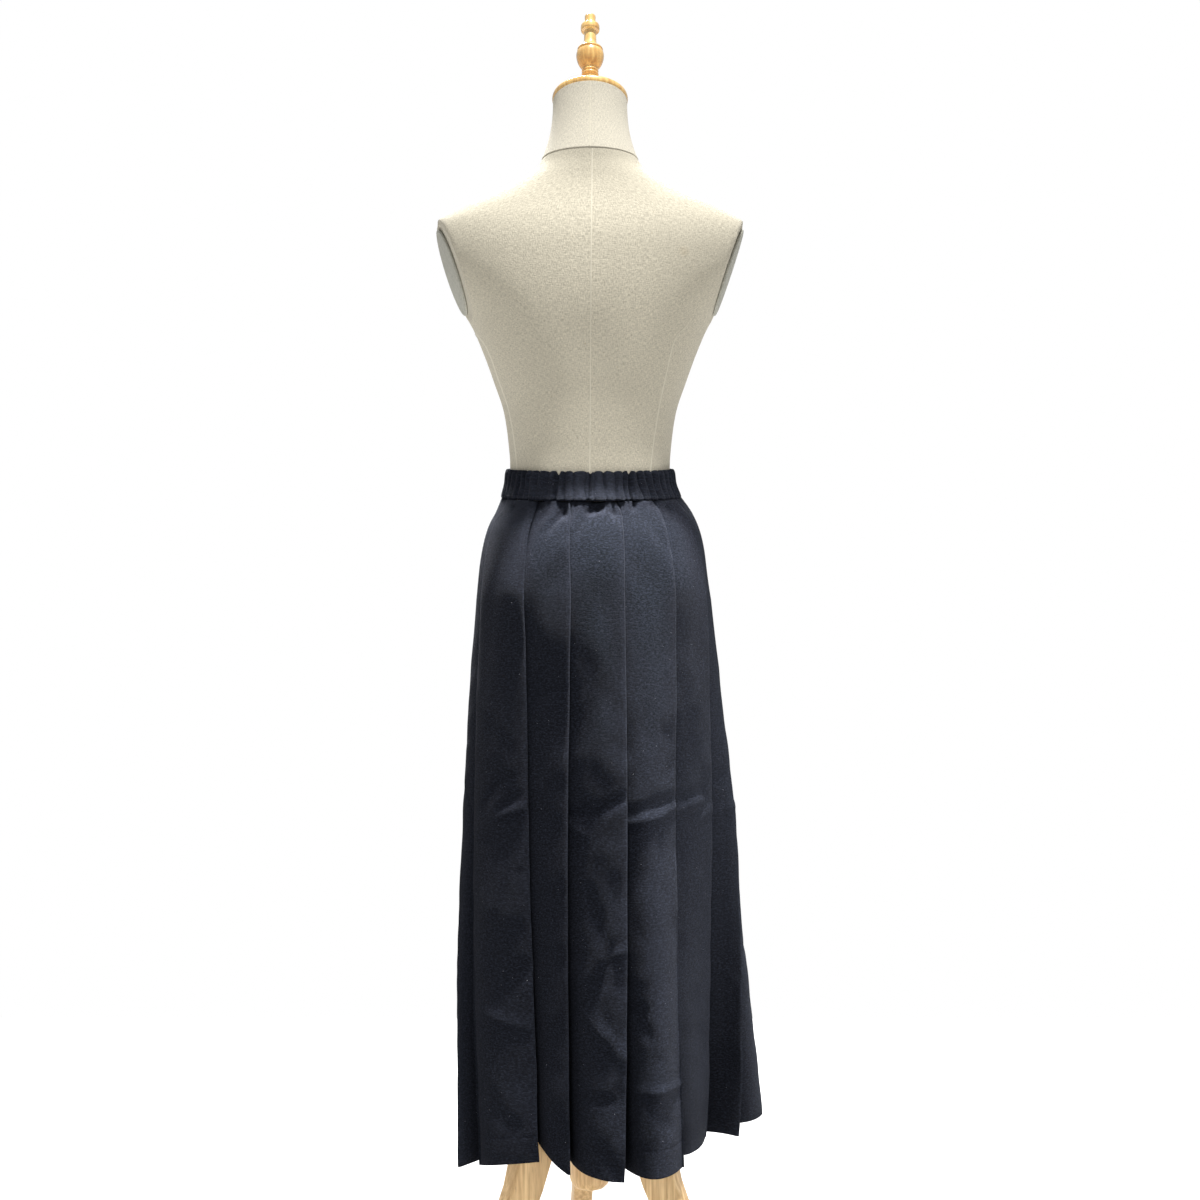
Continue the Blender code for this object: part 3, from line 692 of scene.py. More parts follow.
def rows_above_hip():
    """The skirt's rings from hip to waist, each with its height above the hem."""
    rows = []
    for height in np.linspace(HIP_Z, LEVELS[0].z, ROWS_ABOVE_HIP):
        level = curve_through(LEVELS, 0, float(height))
        waist_part = (height - HIP_Z) / (LEVELS[0].z - HIP_Z)
        tilt = WAIST_TILT * waist_part
        row = []
        for i, fold in enumerate(FOLDS):
            back = flat_return(i, level, waist_part)[:: fold.on_top]
            face = flat_face(i, level, waist_part)
            row.append([[(x, y, height + tilt * y) for x, y in part] for part in (back, face)])
        rows.append((height - HEM_Z, row))
    return rows


def line_depth(start, end, here, out, width):
    """How far a soft line from start to end moves the cloth out at a place; it fades at both ends."""
    dx = end[0] - start[0]
    dz = end[1] - start[1]
    px = here[0] - start[0]
    pz = here[1] - start[1]
    along = (px * dx + pz * dz) / (dx * dx + dz * dz)
    kept = min(max(along, 0.0), 1.0)
    aside = hypot(px - kept * dx, pz - kept * dz)
    if aside > 3.0 * width:
        return 0.0
    fade = 1.0 - 0.35 * abs(2.0 * kept - 1.0)
    return out * fade * bell(aside, width)


def ease_hip(rings):
    """The same rings, with the turn of the cloth at the hip made soft."""
    soft = np.array(rings)
    heights = soft[:, :, 2].mean(axis=1)
    near = np.exp(-(((heights - HIP_Z) / HIP_EASE) ** 2))[:, None, None]
    for _ in range(HIP_EASE_STEPS):
        middle = soft[1:-1]
        pulled = (soft[:-2] + soft[2:]) / 2.0 - middle
        pulled[:, :, 2] = 0.0
        soft[1:-1] = middle + 0.5 * near[1:-1] * pulled
    return soft


def crease_depth(face_name, across, z):
    """How far the creases of a face move its cloth out at a place."""
    total = 0.0
    here = (across * FACE_BREADTH, z)
    for start, start_z, end, end_z, out, width in CREASES[face_name]:
        total += line_depth((start * FACE_BREADTH, start_z), (end * FACE_BREADTH, end_z), here, out, width)
    return total


def hip_lines(x, y, z):
    """How far the lines near the waist and hip move the back's cloth out."""
    if y > 0.0 or z < HIP_LINES_FROM_Z:
        return 0.0
    return sum(line_depth(line[:2], line[2:4], (x, z), line.out, line.width) for line in HIP_LINES)


def cloth_swell(x, y, z):
    """The soft unevenness of hanging cloth, the same for all the layers at one place."""
    spot = on_circle(atan2(y, x), SWELL_TURN, z / CLOTH_SWELL_LENGTH)
    total = sum(row.part * noise.noise(spot * row.fineness + Vector(row.start)) for row in SWELLS)
    return CLOTH_SWELL * total * smooth_step(*SWELL_TOP, z)


def small_creases(x, y, z):
    """Faint creases that wander over the lower part of the skirt, in patches."""
    spot = on_circle(atan2(y, x), SMALL_CREASE_TURN, z / SMALL_CREASE_LENGTH)
    line = max(1.0 - 4.0 * abs(noise.noise(spot)), 0.0)
    patch = smooth_step(-0.05, 0.30, noise.noise(spot * 0.4 + Vector((9.0, 2.0, 6.0))))
    return -SMALL_CREASE * line * patch * smooth_step(*SMALL_CREASE_TOP, z)


def waist_dent(x, y, z):
    """How far the cloth dips between the gathers just under the waistband."""
    top = LEVELS[0].z + WAIST_TILT * y
    below = top - z
    if below > WAIST_REACH:
        return 0.0
    total = WAIST_ROLL * bell(below, WAIST_ROLL_LENGTH)
    if y < 0.0 and abs(x) < BACK_HALF_WIDTH:
        for pit in BACK_PITS:
            near = smooth_step(pit.low_z - 3.0, min(pit.low_z + 6.0, top), z)
            total -= pit.depth * near * exp(-(((x - pit.x) / pit.half_width) ** 4))
        return total
    angle = atan2(y, x)
    circle = on_circle(angle)
    wave = max(cos(PITS_ELSEWHERE * angle + 2.4 * noise.noise(circle * 3.7)), 0.0) ** 1.5
    usual, uneven = PITS_ELSEWHERE_REACH
    reach = usual + uneven * noise.noise(circle * 7.3 + Vector((0.0, 0.0, 4.0)))
    return total - PITS_ELSEWHERE_DEPTH * wave * smooth_step(reach + 8.0, 0.4 * reach, below)


def face_creases(index, face):
    """How far out the creases move each point across a face."""
    starts_under, ends_under = face_ends(index)
    last = FACE_PLACES - 1.0
    shown = last - starts_under - ends_under
    outs = []
    for k, point in enumerate(face):
        across = (last * k / (FACE_POINTS - 1) - starts_under) / shown
        outs.append(crease_depth(FOLDS[index].name, across, point[2]))
    return outs


def fold_tip(inside, edge, across_gap):
    """The round end of a fold, past a face's edge and half-way to the cloth's other layer."""
    toward_x, toward_y = unit(edge[0] - inside[0], edge[1] - inside[1])
    middle = mix(edge, across_gap, 0.5)
    reach = FOLD_ROUNDING * plan_length(edge, across_gap)
    return middle[0] + toward_x * reach, middle[1] + toward_y * reach, middle[2]


def finished_ring(up, row):
    """One ring of points with creases, soft swell and rounded fold edges."""
    groove = -HEM_GROOVE * bell(up - HEM_TURN_UP, HEM_GROOVE_WIDTH)
    outs = [face_creases(i, face) for i, (_, face) in enumerate(row)]
    ring = []
    for i, (back, face) in enumerate(row):
        before = row[i - 1][1]
        first_out = outs[i - 1][-1]
        line = [(fold_tip(before[-2], before[-1], back[0]), first_out)]
        for k, point in enumerate(back):
            line.append((point, mix(first_out, outs[i][0], k / (RETURN_POINTS - 1))))
        line.append((fold_tip(face[1], face[0], back[-1]), outs[i][0]))
        line += zip(face, outs[i])
        for (x, y, z), out in line:
            away_x, away_y = unit(x - SKIRT_MIDDLE[0], y - SKIRT_MIDDLE[1])
            moved = out + groove + cloth_swell(x, y, z) + small_creases(x, y, z)
            moved += waist_dent(x, y, z) + hip_lines(x, y, z)
            ring.append((x + away_x * moved, y + away_y * moved, z))
    return ring


def panel_mesh(name, rings, first_fold, last_fold, material):
    """One sewn panel of the skirt, from the middle of one fold's return to the middle of another's."""
    per_fold = RETURN_POINTS + FACE_POINTS + 2
    span = (last_fold - first_fold) % len(FOLDS)
    start = first_fold * per_fold + 1 + RETURN_POINTS // 2
    picks = [(start + k) % len(rings[0]) for k in range(span * per_fold + 1)]
    bm = bmesh.new()
    bm.loops.layers.uv.new("cloth")
    grid = []
    for ring in rings:
        line = [tuple(ring[k]) for k in picks]
        for end, beside in ((0, 1), (-1, -2)):
            part = PANEL_GAP / 2.0 / max(plan_length(line[end], line[beside]), 0.5)
            line[end] = mix(line[end], line[beside], part)
        grid.append([bm.verts.new(place(point)) for point in line])
    low_hip = rings[len(rings) * 3 // 4]
    across = [0.0]
    for before, here in zip(picks, picks[1:]):
        across.append(across[-1] + plan_length(low_hip[before], low_hip[here]) * MM)
    join_rows(bm, grid, False, across)
    made = finish_piece(name, bm, material)
    thick = made.modifiers.new("thickness", "SOLIDIFY")
    thick.thickness = CLOTH * MM
    thick.offset = 0.0
    return made


# The waistband


def band_point(row, angle, out):
    """A point of the waistband's ring, moved out from its inside."""
    half = (row.left + row.right) / 2.0 + out
    centre = (row.right - row.left) / 2.0
    depth = (row.back if sin(angle) < 0 else row.front) + out
    return centre + half * cos(angle), depth * sin(angle)


def gather_wave(angle, up):
    """Height of the gathers, from 0 in a valley to 1 on a puff, uneven in width and strength."""
    circle = on_circle(angle)
    drift = 3.4 * noise.noise(circle * 3.1) + 1.6 * noise.noise(circle * 9.0 + Vector((0, 0, 1.6 * up)))
    wave = abs(cos(0.5 * (GATHERS * angle + drift))) ** 0.55
    strength = 0.8 + 0.7 * noise.noise(circle * 12.0 + Vector((3.0, 0.0, 0.8 * up)))
    height = 1.0 - (1.0 - wave) * max(strength, 0.25)
    if sin(angle) < 0.0:
        x = DEEP_GATHER_X * cos(angle)
        for deep in DEEP_GATHERS:
            height -= 1.2 * bell(x - deep - 3.0 * (up - 0.5), 2.0)
    return height


def band_out(angle, up):
    """How far the outside of the casing stands out from its inside."""
    roll = curve_through(BAND_ROLLS, 0, up).out
    hold = 1.0 - 0.35 * bell(up - 0.10, 0.03)
    low_puff = BACK_PUFF * max(-sin(angle), 0.0) ** 2 * bell(up, 0.35)
    gathered = GATHER_DEPTH * (gather_wave(angle, up) - 0.75) * hold
    return max(roll + low_puff + gathered, THINNEST_CASING)


def build_waistband(material):
    """The elastic casing: gathered outside, ruffled at the top edge, smooth inside."""
    around = GATHERS * POINTS_PER_GATHER
    bm = bmesh.new()
    bm.loops.layers.uv.new("cloth")
    outer = []
    inner = []
    for level in range(BAND_ROWS_UP + 1):
        up = level / BAND_ROWS_UP
        row = curve_through(BAND_ROWS, 0, up)
        height = BAND_BOTTOM_Z + BAND_GAP + up * BAND_HEIGHT
        edge = smooth_step(RUFFLE_FROM, 1.0, up)
        outer.append([])
        inner.append([])
        for angle in once_round(around):
            lift = edge * (RUFFLE[0] * gather_wave(angle, up) - RUFFLE[1])
            for rings, out in ((outer, band_out(angle, up)), (inner, 0.0)):
                x, y = band_point(row, angle, out)
                rings[-1].append(bm.verts.new(place((x, y, height + WAIST_TILT * y + lift))))
    radius = (BAND_ROWS[1].left + BAND_ROWS[1].back) / 2.0 * MM
    across = [2.0 * pi * radius * step / around for step in range(around + 1)]
    join_rows(bm, outer + inner[::-1] + outer[:1], True, across)
    return finish_piece("waistband_cloth", bm, material)


def build_waist_stitches(material):
    """Two rows of small stitches that hold the casing down just above the pleats."""
    bm = bmesh.new()
    radius = (BAND_ROWS[0].left + BAND_ROWS[0].back) / 2.0
    steps = int(2.0 * pi * radius / STITCH_STEP)
    half = STITCH_LENGTH / 2.0 / radius
    for row_up in STITCH_ROWS:
        row = curve_through(BAND_ROWS, 0, row_up)
        for middle in once_round(steps):
            ends = []
            for angle in (middle - half, middle + half):
                x, y = band_point(row, angle, band_out(angle, row_up) + STITCH_LIFT)
                z = BAND_BOTTOM_Z + BAND_GAP + row_up * BAND_HEIGHT + WAIST_TILT * y
                ends.append(place((x, y, z)))
            add_stitch(bm, *ends)
    return finish_piece("waistband_stitches", bm, material)


def add_stitch(bm, start, end):
    """A short thread between two points, with four sides."""
    along = (end - start).normalized()
    side = along.cross(Vector((0.0, 0.0, 1.0))).normalized()
    up = side.cross(along)
    rings = []
    for part, size in STITCH_RINGS:
        ring = []
        for angle in once_round(4):
            turn = side * cos(angle) + up * sin(angle)
            ring.append(bm.verts.new(start.lerp(end, part) + turn * STITCH_RADIUS * MM * size))
        rings.append(ring)
    join_rows(bm, rings, True)
    bm.faces.new(rings[0][::-1])
    bm.faces.new(rings[-1])


# The dress form


def signed_power(value, power):
    """abs(value) to a power, with the sign of value."""
    return copysign(abs(value) ** power, value)


def form_point(section, angle):
    """A point of the dress form's section, at an angle where -90 degrees is the back."""
    across = signed_power(cos(angle), 2.0 / section.power)
    along = signed_power(sin(angle), 2.0 / section.power)
    depth = section.back if along < 0 else section.front
    return section.half_width * across, depth * along


def arm_cut_x(side, y, height):
    """How far out a shoulder's flat end lies: it leans in downwards, and its back edge is turned in."""
    slope = (ARM_CUT_TOP[0] - ARM_CUT_BOTTOM[0]) / (ARM_CUT_TOP[1] - ARM_CUT_BOTTOM[1])
    return ARM_CUT_TOP[0] + slope * (height - ARM_CUT_TOP[1]) + ARM_CUT_TURN[side] * y


def spine_hollow(x, height):
    """Depth of the soft hollow along the spine, under the shoulder blades."""
    reach = SPINE_REACH_UP if height > SPINE_Z else SPINE_REACH_DOWN
    return SPINE_DEPTH * bell(x, SPINE_HALF_WIDTH) * bell(height - SPINE_Z, reach)


def cut_shoulder(x, y, height):
    """The same point of the torso, brought in to the flat end of its shoulder."""
    if height < ARM_CUT_BOTTOM[1] or height > ARM_CUT_TOP[1] + 12.0:
        return x, y, height
    side = 1.0 if x > 0 else -1.0
    return side * min(abs(x), arm_cut_x(side, y, height)), y, height


def loft_object(name, rings, material, sharp_deg):
    """A closed form through rings of table points, with flat ends and metric UVs."""
    bm = bmesh.new()
    uv_layer = bm.loops.layers.uv.new("cloth")
    made = [[bm.verts.new(place(point)) for point in ring] for ring in rings]
    around = len(rings[0])
    join_rows(bm, made, True, [LINEN_ROUND * step / around for step in range(around + 1)])
    for ring in (made[0][::-1], made[-1]):
        for loop in bm.faces.new(ring).loops:
            loop[uv_layer].uv = (loop.vert.co.x, loop.vert.co.y)
    bmesh.ops.recalc_face_normals(bm, faces=bm.faces)
    piece = finish_piece(name, bm, material)
    piece.data.set_sharp_from_angle(angle=radians(sharp_deg))
    return piece


def build_torso(material):
    """The linen torso, finer than its solid, with a rounded lower edge."""
    rings = []
    for i in range(FORM_ROWS + 1):
        height = mix(FORM_SECTIONS[0].z, FORM_SECTIONS[-1].z, i / FORM_ROWS)
        section = curve_through(FORM_SECTIONS, 0, height)
        ring = []
        for angle in once_round(FORM_AROUND):
            x, y = form_point(section, angle)
            if y < 0.0:
                y += spine_hollow(x, height)
            ring.append(cut_shoulder(x, y, height))
        rings.append(ring)
    return loft_object("torso_linen", rings, material, 40.0)


def torso_surface(x, z, side):
    """The point of the torso at a width and height, on its back (-1) or its front (1)."""
    section = curve_through(FORM_SECTIONS, 0, z)
    part = min(abs(x) / section.half_width, 0.9999)
    depth = section.back if side < 0 else section.front
    y = depth * (1.0 - part ** section.power) ** (1.0 / section.power)
    if side < 0:
        y -= spine_hollow(x, z)
    return x, side * y


def seam_ribbon(bm, path, side):
    """A narrow raised line along a seam on the torso."""
    rows = []
    for z in np.linspace(path[0].z, path[-1].z, 70).tolist():
        x = curve_through(path, 1, z).x
        row = []
        for aside, raise_by in RIBBON:
            px, py = torso_surface(x + aside * SEAM_WIDTH / 2.0, z, side)
            row.append(bm.verts.new(place((px, py + side * raise_by * SEAM_RAISE, z))))
        rows.append(row)
    join_rows(bm, rows, False)


def build_seams(material):
    """Princess and centre seams of the linen, on the back as shown and alike on the front."""
    bm = bmesh.new()
    for path in (PRINCESS_LEFT, PRINCESS_RIGHT, CENTRE_BACK):
        for side in (-1.0, 1.0):
            seam_ribbon(bm, path, side)
    for middle in (-pi / 2.0, pi / 2.0):
        rows = []
        for part in np.linspace(0.015, 0.985, 24):
            row = []
            for aside, raise_by in RIBBON:
                angle = middle + aside * SEAM_WIDTH / 2.0 / NECK_SEAM_RADIUS
                row.append(bm.verts.new(place(neck_point(part, angle, raise_by * SEAM_RAISE))))
            rows.append(row)
        join_rows(bm, rows, False)
    bmesh.ops.recalc_face_normals(bm, faces=bm.faces)
    return finish_piece("torso_seams", bm, material)


def neck_point(part, angle, out=0.0):
    """A point of the neck: part 0 is its foot, 1 its slanted top."""
    roll = out - NECK_EDGE * bell(part, NECK_EDGE_PART)
    half_width = NECK_RADIUS + NECK_FLARE_ACROSS * (1.0 - part) ** 2.4 + roll
    half_depth = NECK_RADIUS + NECK_FLARE_ALONG * (1.0 - part) ** 2.0 + roll
    y = half_depth * sin(angle)
    height = mix(NECK_SEAM_Z, NECK_TOP_Z, part) - tan(NECK_TOP_TILT) * part * y
    return half_width * cos(angle), y + NECK_TOP_Y * part, height


def build_neck(material):
    """The linen neck, with a slanted top under the cap and a folded edge at its foot."""
    parts = NECK_FOOT_PARTS + list(np.linspace(0.04, 1.0, 30))
    rings = [[neck_point(part, angle) for angle in once_round(NECK_AROUND)] for part in parts]
    return loft_object("neck_linen", rings, material, 40.0)


def build_arm_plate(name, side, material):
    """The oval plate that closes a shoulder, with a soft rim."""
    rings = []
    for out, grow in PLATE_RIM:
        ring = []
        for angle in once_round(PLATE_AROUND):
            y = ARM_PLATE_HALF_DEPTH * grow * cos(angle) - PLATE_BACK
            height = ARM_PLATE_Z + ARM_PLATE_HALF_HEIGHT * grow * sin(angle)
            ring.append((side * (arm_cut_x(side, y, height) + out), y, height))
        rings.append(ring)
    return loft_object(name, rings, material, 50.0)


# The wooden pieces

CAP_PROFILE = table(
    "up radius",
    (0.0, 44.5), (0.6, 46.2), (2.2, 47.2), (4.5, 47.5), (6.8, 47.1), (8.4, 45.8), (9.0, 43.5),
)
FINIAL_PROFILE = table(
    "up radius",
    (0.0, 14.5), (2.0, 15.4), (6.0, 14.6), (9.5, 11.0), (15.0, 9.4), (27.0, 9.0), (28.4, 10.2),
    (30.4, 10.8), (32.2, 10.0), (32.8, 9.2), (33.4, 10.0), (35.0, 10.6), (36.4, 9.8), (37.6, 9.3),
    (40.0, 10.8), (43.5, 13.4), (48.7, 15.9), (54.0, 17.2), (58.0, 17.5), (61.4, 16.9), (62.6, 16.2),
    (63.2, 14.4), (63.9, 14.4), (64.5, 16.0), (66.0, 16.1), (67.4, 14.6), (70.0, 10.8), (73.5, 8.7),
    (78.0, 7.9), (86.0, 7.6), (91.6, 7.6), (92.6, 9.8), (93.6, 11.5), (97.5, 11.9), (101.0, 11.4),
    (102.0, 9.6), (102.8, 7.3), (108.0, 6.7), (113.0, 6.9), (114.6, 6.6), (115.4, 5.2),
)
# Gaps above the neck, and rings for each row of an outline
CAP_GAP = 0.3
FINIAL_GAP = 9.6
STEPS_PER_TURN_ROW = 3

# How far the edges of the stand's pieces are eased
EASED_EDGES = {
    "stand_pole": 0.6,
    "stand_block": 1.6,
    "stand_column_end": 0.6,
    "stand_leg_left": 2.6,
    "stand_leg_right": 2.6,
    "stand_leg_front": 2.6,
}


def turned_rings(profile, around):
    """Rings of a turned piece on its own axis, on a smooth curve through its outline."""
    rows = []
    for low, high in zip(profile, profile[1:]):
        for step in range(STEPS_PER_TURN_ROW):
            rows.append(curve_through(profile, 0, mix(low.up, high.up, step / STEPS_PER_TURN_ROW)))
    rows.append(profile[-1])
    angles = once_round(around)
    return [[(row.radius * cos(a), row.radius * sin(a), row.up) for a in angles] for row in rows]


def tilt_on_neck(rings, gap):
    """The same rings, leaning with the neck's slanted top and standing a gap above it."""
    up = gap + 0.1
    base_y = NECK_TOP_Y + up * sin(NECK_TOP_TILT)
    base_z = NECK_TOP_Z + up * cos(NECK_TOP_TILT)
    level = cos(NECK_TOP_TILT)
    steep = -sin(NECK_TOP_TILT)
    return [
        [(x, base_y + y * level - z * steep, base_z + y * steep + z * level) for x, y, z in ring]
        for ring in rings
    ]


def build_cap_and_finial(material):
    """The varnished disc and finial, finer than their solids."""
    cap_rings = tilt_on_neck(turned_rings(CAP_PROFILE, 96), CAP_GAP)
    finial_rings = tilt_on_neck(turned_rings(FINIAL_PROFILE, 64), FINIAL_GAP)
    cap = loft_object("cap_wood", cap_rings, material, 60.0)
    finial = loft_object("finial_wood", finial_rings, material, 60.0)
    stand_for(((cap, "neck_cap"), (finial, "neck_finial")))


def build_stand(material):
    """The stand's pieces with their edges eased; each follows its solid."""
    for name, width in EASED_EDGES.items():
        bm = bmesh.new()
        bm.from_mesh(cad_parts[name].data)
        bmesh.ops.remove_doubles(bm, verts=bm.verts, dist=0.00002)
        bmesh.ops.dissolve_limit(
            bm, angle_limit=radians(1.0), verts=bm.verts, edges=bm.edges
        )
        piece = finish_piece(name + "_wood", bm, material)
        piece.data.shade_smooth()
        bevel = piece.modifiers.new("eased", "BEVEL")
        bevel.width = width * MM
        bevel.segments = 3
        bevel.limit_method = "ANGLE"
        bevel.angle_limit = radians(32.0)
        bevel.harden_normals = True
        stand_for([(piece, name)])


# Materials


class Nodes:
    """A short way to build a node tree."""

    def __init__(self, name):
        self.material = bpy.data.materials.new(name)
        self.material.use_nodes = True
        self.tree = self.material.node_tree
        self.shader = self.tree.nodes["Principled BSDF"]

    def feed(self, socket, value):
        """Gives a socket a plain value or another node's output."""
        if isinstance(value, bpy.types.NodeSocket):
            self.tree.links.new(value, socket)
        else:
            socket.default_value = value

    def add(self, kind, links=None, **values):
        """A node with its properties set, its inputs given as plain values or other nodes' outputs."""
        node = self.tree.nodes.new(kind)
        for key, value in values.items():
            setattr(node, key, value)
        for key, value in (links or {}).items():
            self.feed(node.inputs[key], value)
        return node

    def solid(self):
        """Coordinates through the piece, in metres."""
        return self.add("ShaderNodeTexCoord").outputs["Object"]

    def cloth(self):
        """Coordinates across and up the cloth, in metres."""
        return self.add("ShaderNodeUVMap", uv_map="cloth").outputs["UV"]

    def math(self, operation, first, second):
        """The result of one sum or product."""
        return self.add("ShaderNodeMath", {0: first, 1: second}, operation=operation).outputs[0]

    def weighed(self, *patterns):
        """The sum of patterns, each times its weight."""
        parts = [self.math("MULTIPLY", pattern, weight) for pattern, weight in patterns]
        total = parts[0]
        for part in parts[1:]:
            total = self.math("ADD", total, part)
        return total

    def noise(self, vector, scale, detail=3.0, roughness=0.55, stretch=None):
        """A soft random pattern, on coordinates that may be scaled along each axis."""
        if stretch:
            vector = self.add("ShaderNodeMapping", {"Vector": vector, "Scale": stretch}).outputs["Vector"]
        values = {"Vector": vector, "Scale": scale, "Detail": detail, "Roughness": roughness}
        return self.add("ShaderNodeTexNoise", values).outputs["Fac"]

    def ramp(self, value, low, high):
        """0 below low, 1 above high."""
        values = {"Value": value, "From Min": low, "From Max": high}
        return self.add("ShaderNodeMapRange", values, interpolation_type="SMOOTHSTEP").outputs["Result"]

    def mix(self, part, first, second):
        """A colour between two, which may be colours or other nodes' outputs."""
        ends = [end if isinstance(end, bpy.types.NodeSocket) else (*end, 1.0) for end in (first, second)]
        return self.add("ShaderNodeMix", {0: part, 6: ends[0], 7: ends[1]}, data_type="RGBA").outputs[2]

    def lay(self, base, pattern, part, colour):
        """A colour laid over the base where a pattern is high."""
        return self.mix(self.math("MULTIPLY", pattern, part), base, colour)

    def bump(self, height, strength, distance):
        """Surface relief on the shader."""
        node = self.add("ShaderNodeBump", {"Height": height, "Strength": strength, "Distance": distance})
        self.set(normal=node.outputs["Normal"])

    def set(self, **values):
        """Gives the shader's own sockets plain values or other nodes' outputs."""
        for key, value in values.items():
            socket = key.replace("_", " ").title().replace("Ior", "IOR")
            self.feed(self.shader.inputs[socket], value)


def wool_material():
    """Navy wool: heathered, with a fine twill, a soft nap and a few light fibres."""
    made = Nodes("wool_cloth")
    cloth = made.cloth()
    solid = made.solid()
    heather = made.noise(cloth, 620.0, 3.0, 0.7, (0.5, 1.0, 1.0))
    cloudy = made.noise(solid, 14.0)
    grain = made.noise(cloth, 300.0, 2.0, 0.6, (0.55, 1.0, 1.0))
    fibre = made.noise(cloth, 1500.0, 2.0, 0.7, (0.35, 1.0, 1.0))
    lint = made.noise(solid, 620.0, 1.0, 0.4)
    slanted = made.add("ShaderNodeMapping", {"Vector": cloth, "Rotation": (0.0, 0.0, radians(52.0))})
    lines = {"Vector": slanted.outputs["Vector"], "Scale": 260.0, "Distortion": 1.6, "Detail": 1.0}
    twill = made.add("ShaderNodeTexWave", lines).outputs["Fac"]
    base = made.mix(made.ramp(heather, 0.38, 0.64), (0.0018, 0.0024, 0.0040), (0.0124, 0.0146, 0.0220))
    base = made.lay(base, made.ramp(cloudy, 0.35, 0.75), 0.35, (0.0062, 0.0076, 0.0118))
    base = made.lay(base, made.ramp(grain, 0.40, 0.60), 0.5, (0.0014, 0.0018, 0.0030))
    base = made.lay(base, twill, 0.22, (0.0016, 0.0019, 0.0032))
    base = made.lay(base, made.ramp(lint, 0.815, 0.84), 0.7, (0.32, 0.32, 0.36))
    made.set(base_color=base)
    made.bump(made.weighed((heather, 0.5), (fibre, 0.5), (twill, 0.5), (grain, 0.6)), 0.8, 0.0012)
    made.set(roughness=0.9, specular_ior_level=0.05)
    made.set(sheen_weight=0.02, sheen_roughness=0.5, sheen_tint=(0.62, 0.64, 0.80, 1.0))
    return made.material


def thread_material():
    """Navy sewing thread."""
    made = Nodes("navy_thread")
    twist = made.noise(made.solid(), 2400.0, 2.0)
    made.set(base_color=made.mix(made.ramp(twist, 0.3, 0.7), (0.003, 0.0035, 0.006), (0.016, 0.018, 0.026)))
    made.bump(twist, 0.3, 0.0002)
    made.set(roughness=0.75, specular_ior_level=0.15)
    return made.material


def linen_material(name, tint):
    """Unbleached linen: an uneven weave with slubs and small dark flecks."""
    made = Nodes(name)
    cloth = made.cloth()
    solid = made.solid()
    weft = made.noise(cloth, 1250.0, 2.0, 0.65, (0.16, 1.0, 1.0))
    warp = made.noise(cloth, 1100.0, 2.0, 0.6, (1.0, 0.22, 1.0))
    fleck = made.noise(cloth, 520.0, 1.0, 0.4, (1.0, 0.35, 1.0))
    cloudy = made.noise(solid, 9.0)
    weave = made.weighed((weft, 0.5), (warp, 0.5))
    light = tuple(min(part * 1.10, 1.0) for part in tint)
    dark = tuple(part * 0.64 for part in tint)
    base = made.mix(made.ramp(weave, 0.34, 0.64), dark, light)
    base = made.lay(base, made.ramp(cloudy, 0.35, 0.7), 0.18, dark)
    base = made.lay(base, made.ramp(fleck, 0.74, 0.80), 0.5, (0.30, 0.23, 0.14))
    middle = {0: solid, 1: place(STAIN)}
    away = made.add("ShaderNodeVectorMath", middle, operation="DISTANCE").outputs["Value"]
    ragged = made.math("ADD", away, made.math("MULTIPLY", cloudy, 0.006))
    base = made.lay(base, made.ramp(ragged, 0.016, 0.007), 0.22, (0.46, 0.29, 0.10))
    made.set(base_color=base)
    made.bump(weave, 0.9, 0.0011)
    made.set(roughness=0.92, specular_ior_level=0.2, sheen_weight=0.12, sheen_roughness=0.5)
    return made.material


def varnished_material():
    """Honey-coloured turned wood under a clear glossy varnish."""
    made = Nodes("varnished_turned_wood")
    solid = made.solid()
    grain = made.noise(solid, 260.0, 4.0, 0.6, (1.0, 1.0, 0.12))
    broad = made.noise(solid, 40.0, stretch=(1.0, 1.0, 0.3))
    base = made.mix(made.ramp(grain, 0.3, 0.7), (0.54, 0.27, 0.070), (0.86, 0.56, 0.19))
    made.set(base_color=made.lay(base, made.ramp(broad, 0.4, 0.7), 0.4, (0.90, 0.64, 0.25)))
    made.bump(grain, 0.08, 0.0004)
    made.set(roughness=0.32, specular_ior_level=0.5, coat_weight=0.9, coat_roughness=0.08)
    return made.material


def pale_wood_material():
    """Light wood with straight upright grain and small pores, oiled."""
    made = Nodes("pale_grained_wood")
    solid = made.solid()
    grain = made.noise(solid, 210.0, 4.0, 0.6, (1.0, 1.0, 0.06))
    rings = made.noise(solid, 34.0, stretch=(1.0, 1.0, 0.10))
    pores = made.noise(solid, 900.0, 1.0, 0.5, (1.0, 1.0, 0.05))
    base = made.mix(made.ramp(grain, 0.3, 0.7), (0.50, 0.30, 0.125), (0.82, 0.585, 0.30))
    base = made.lay(base, made.ramp(rings, 0.42, 0.62), 0.45, (0.55, 0.345, 0.165))
    made.set(base_color=made.lay(base, made.ramp(pores, 0.66, 0.76), 0.5, (0.30, 0.18, 0.09)))
    made.bump(made.math("ADD", grain, pores), 0.15, 0.0004)
    made.set(roughness=made.math("ADD", made.math("MULTIPLY", grain, 0.2), 0.38))
    made.set(specular_ior_level=0.4)
    return made.material


def floor_material():
    """A plain pale floor."""
    made = Nodes("pale_floor")
    speck = made.noise(made.solid(), 40.0, 2.0)
    made.set(base_color=made.mix(speck, (0.90, 0.90, 0.90), (0.93, 0.93, 0.93)))
    made.set(roughness=0.9, specular_ior_level=0.1)
    return made.material


# Floor, light and camera


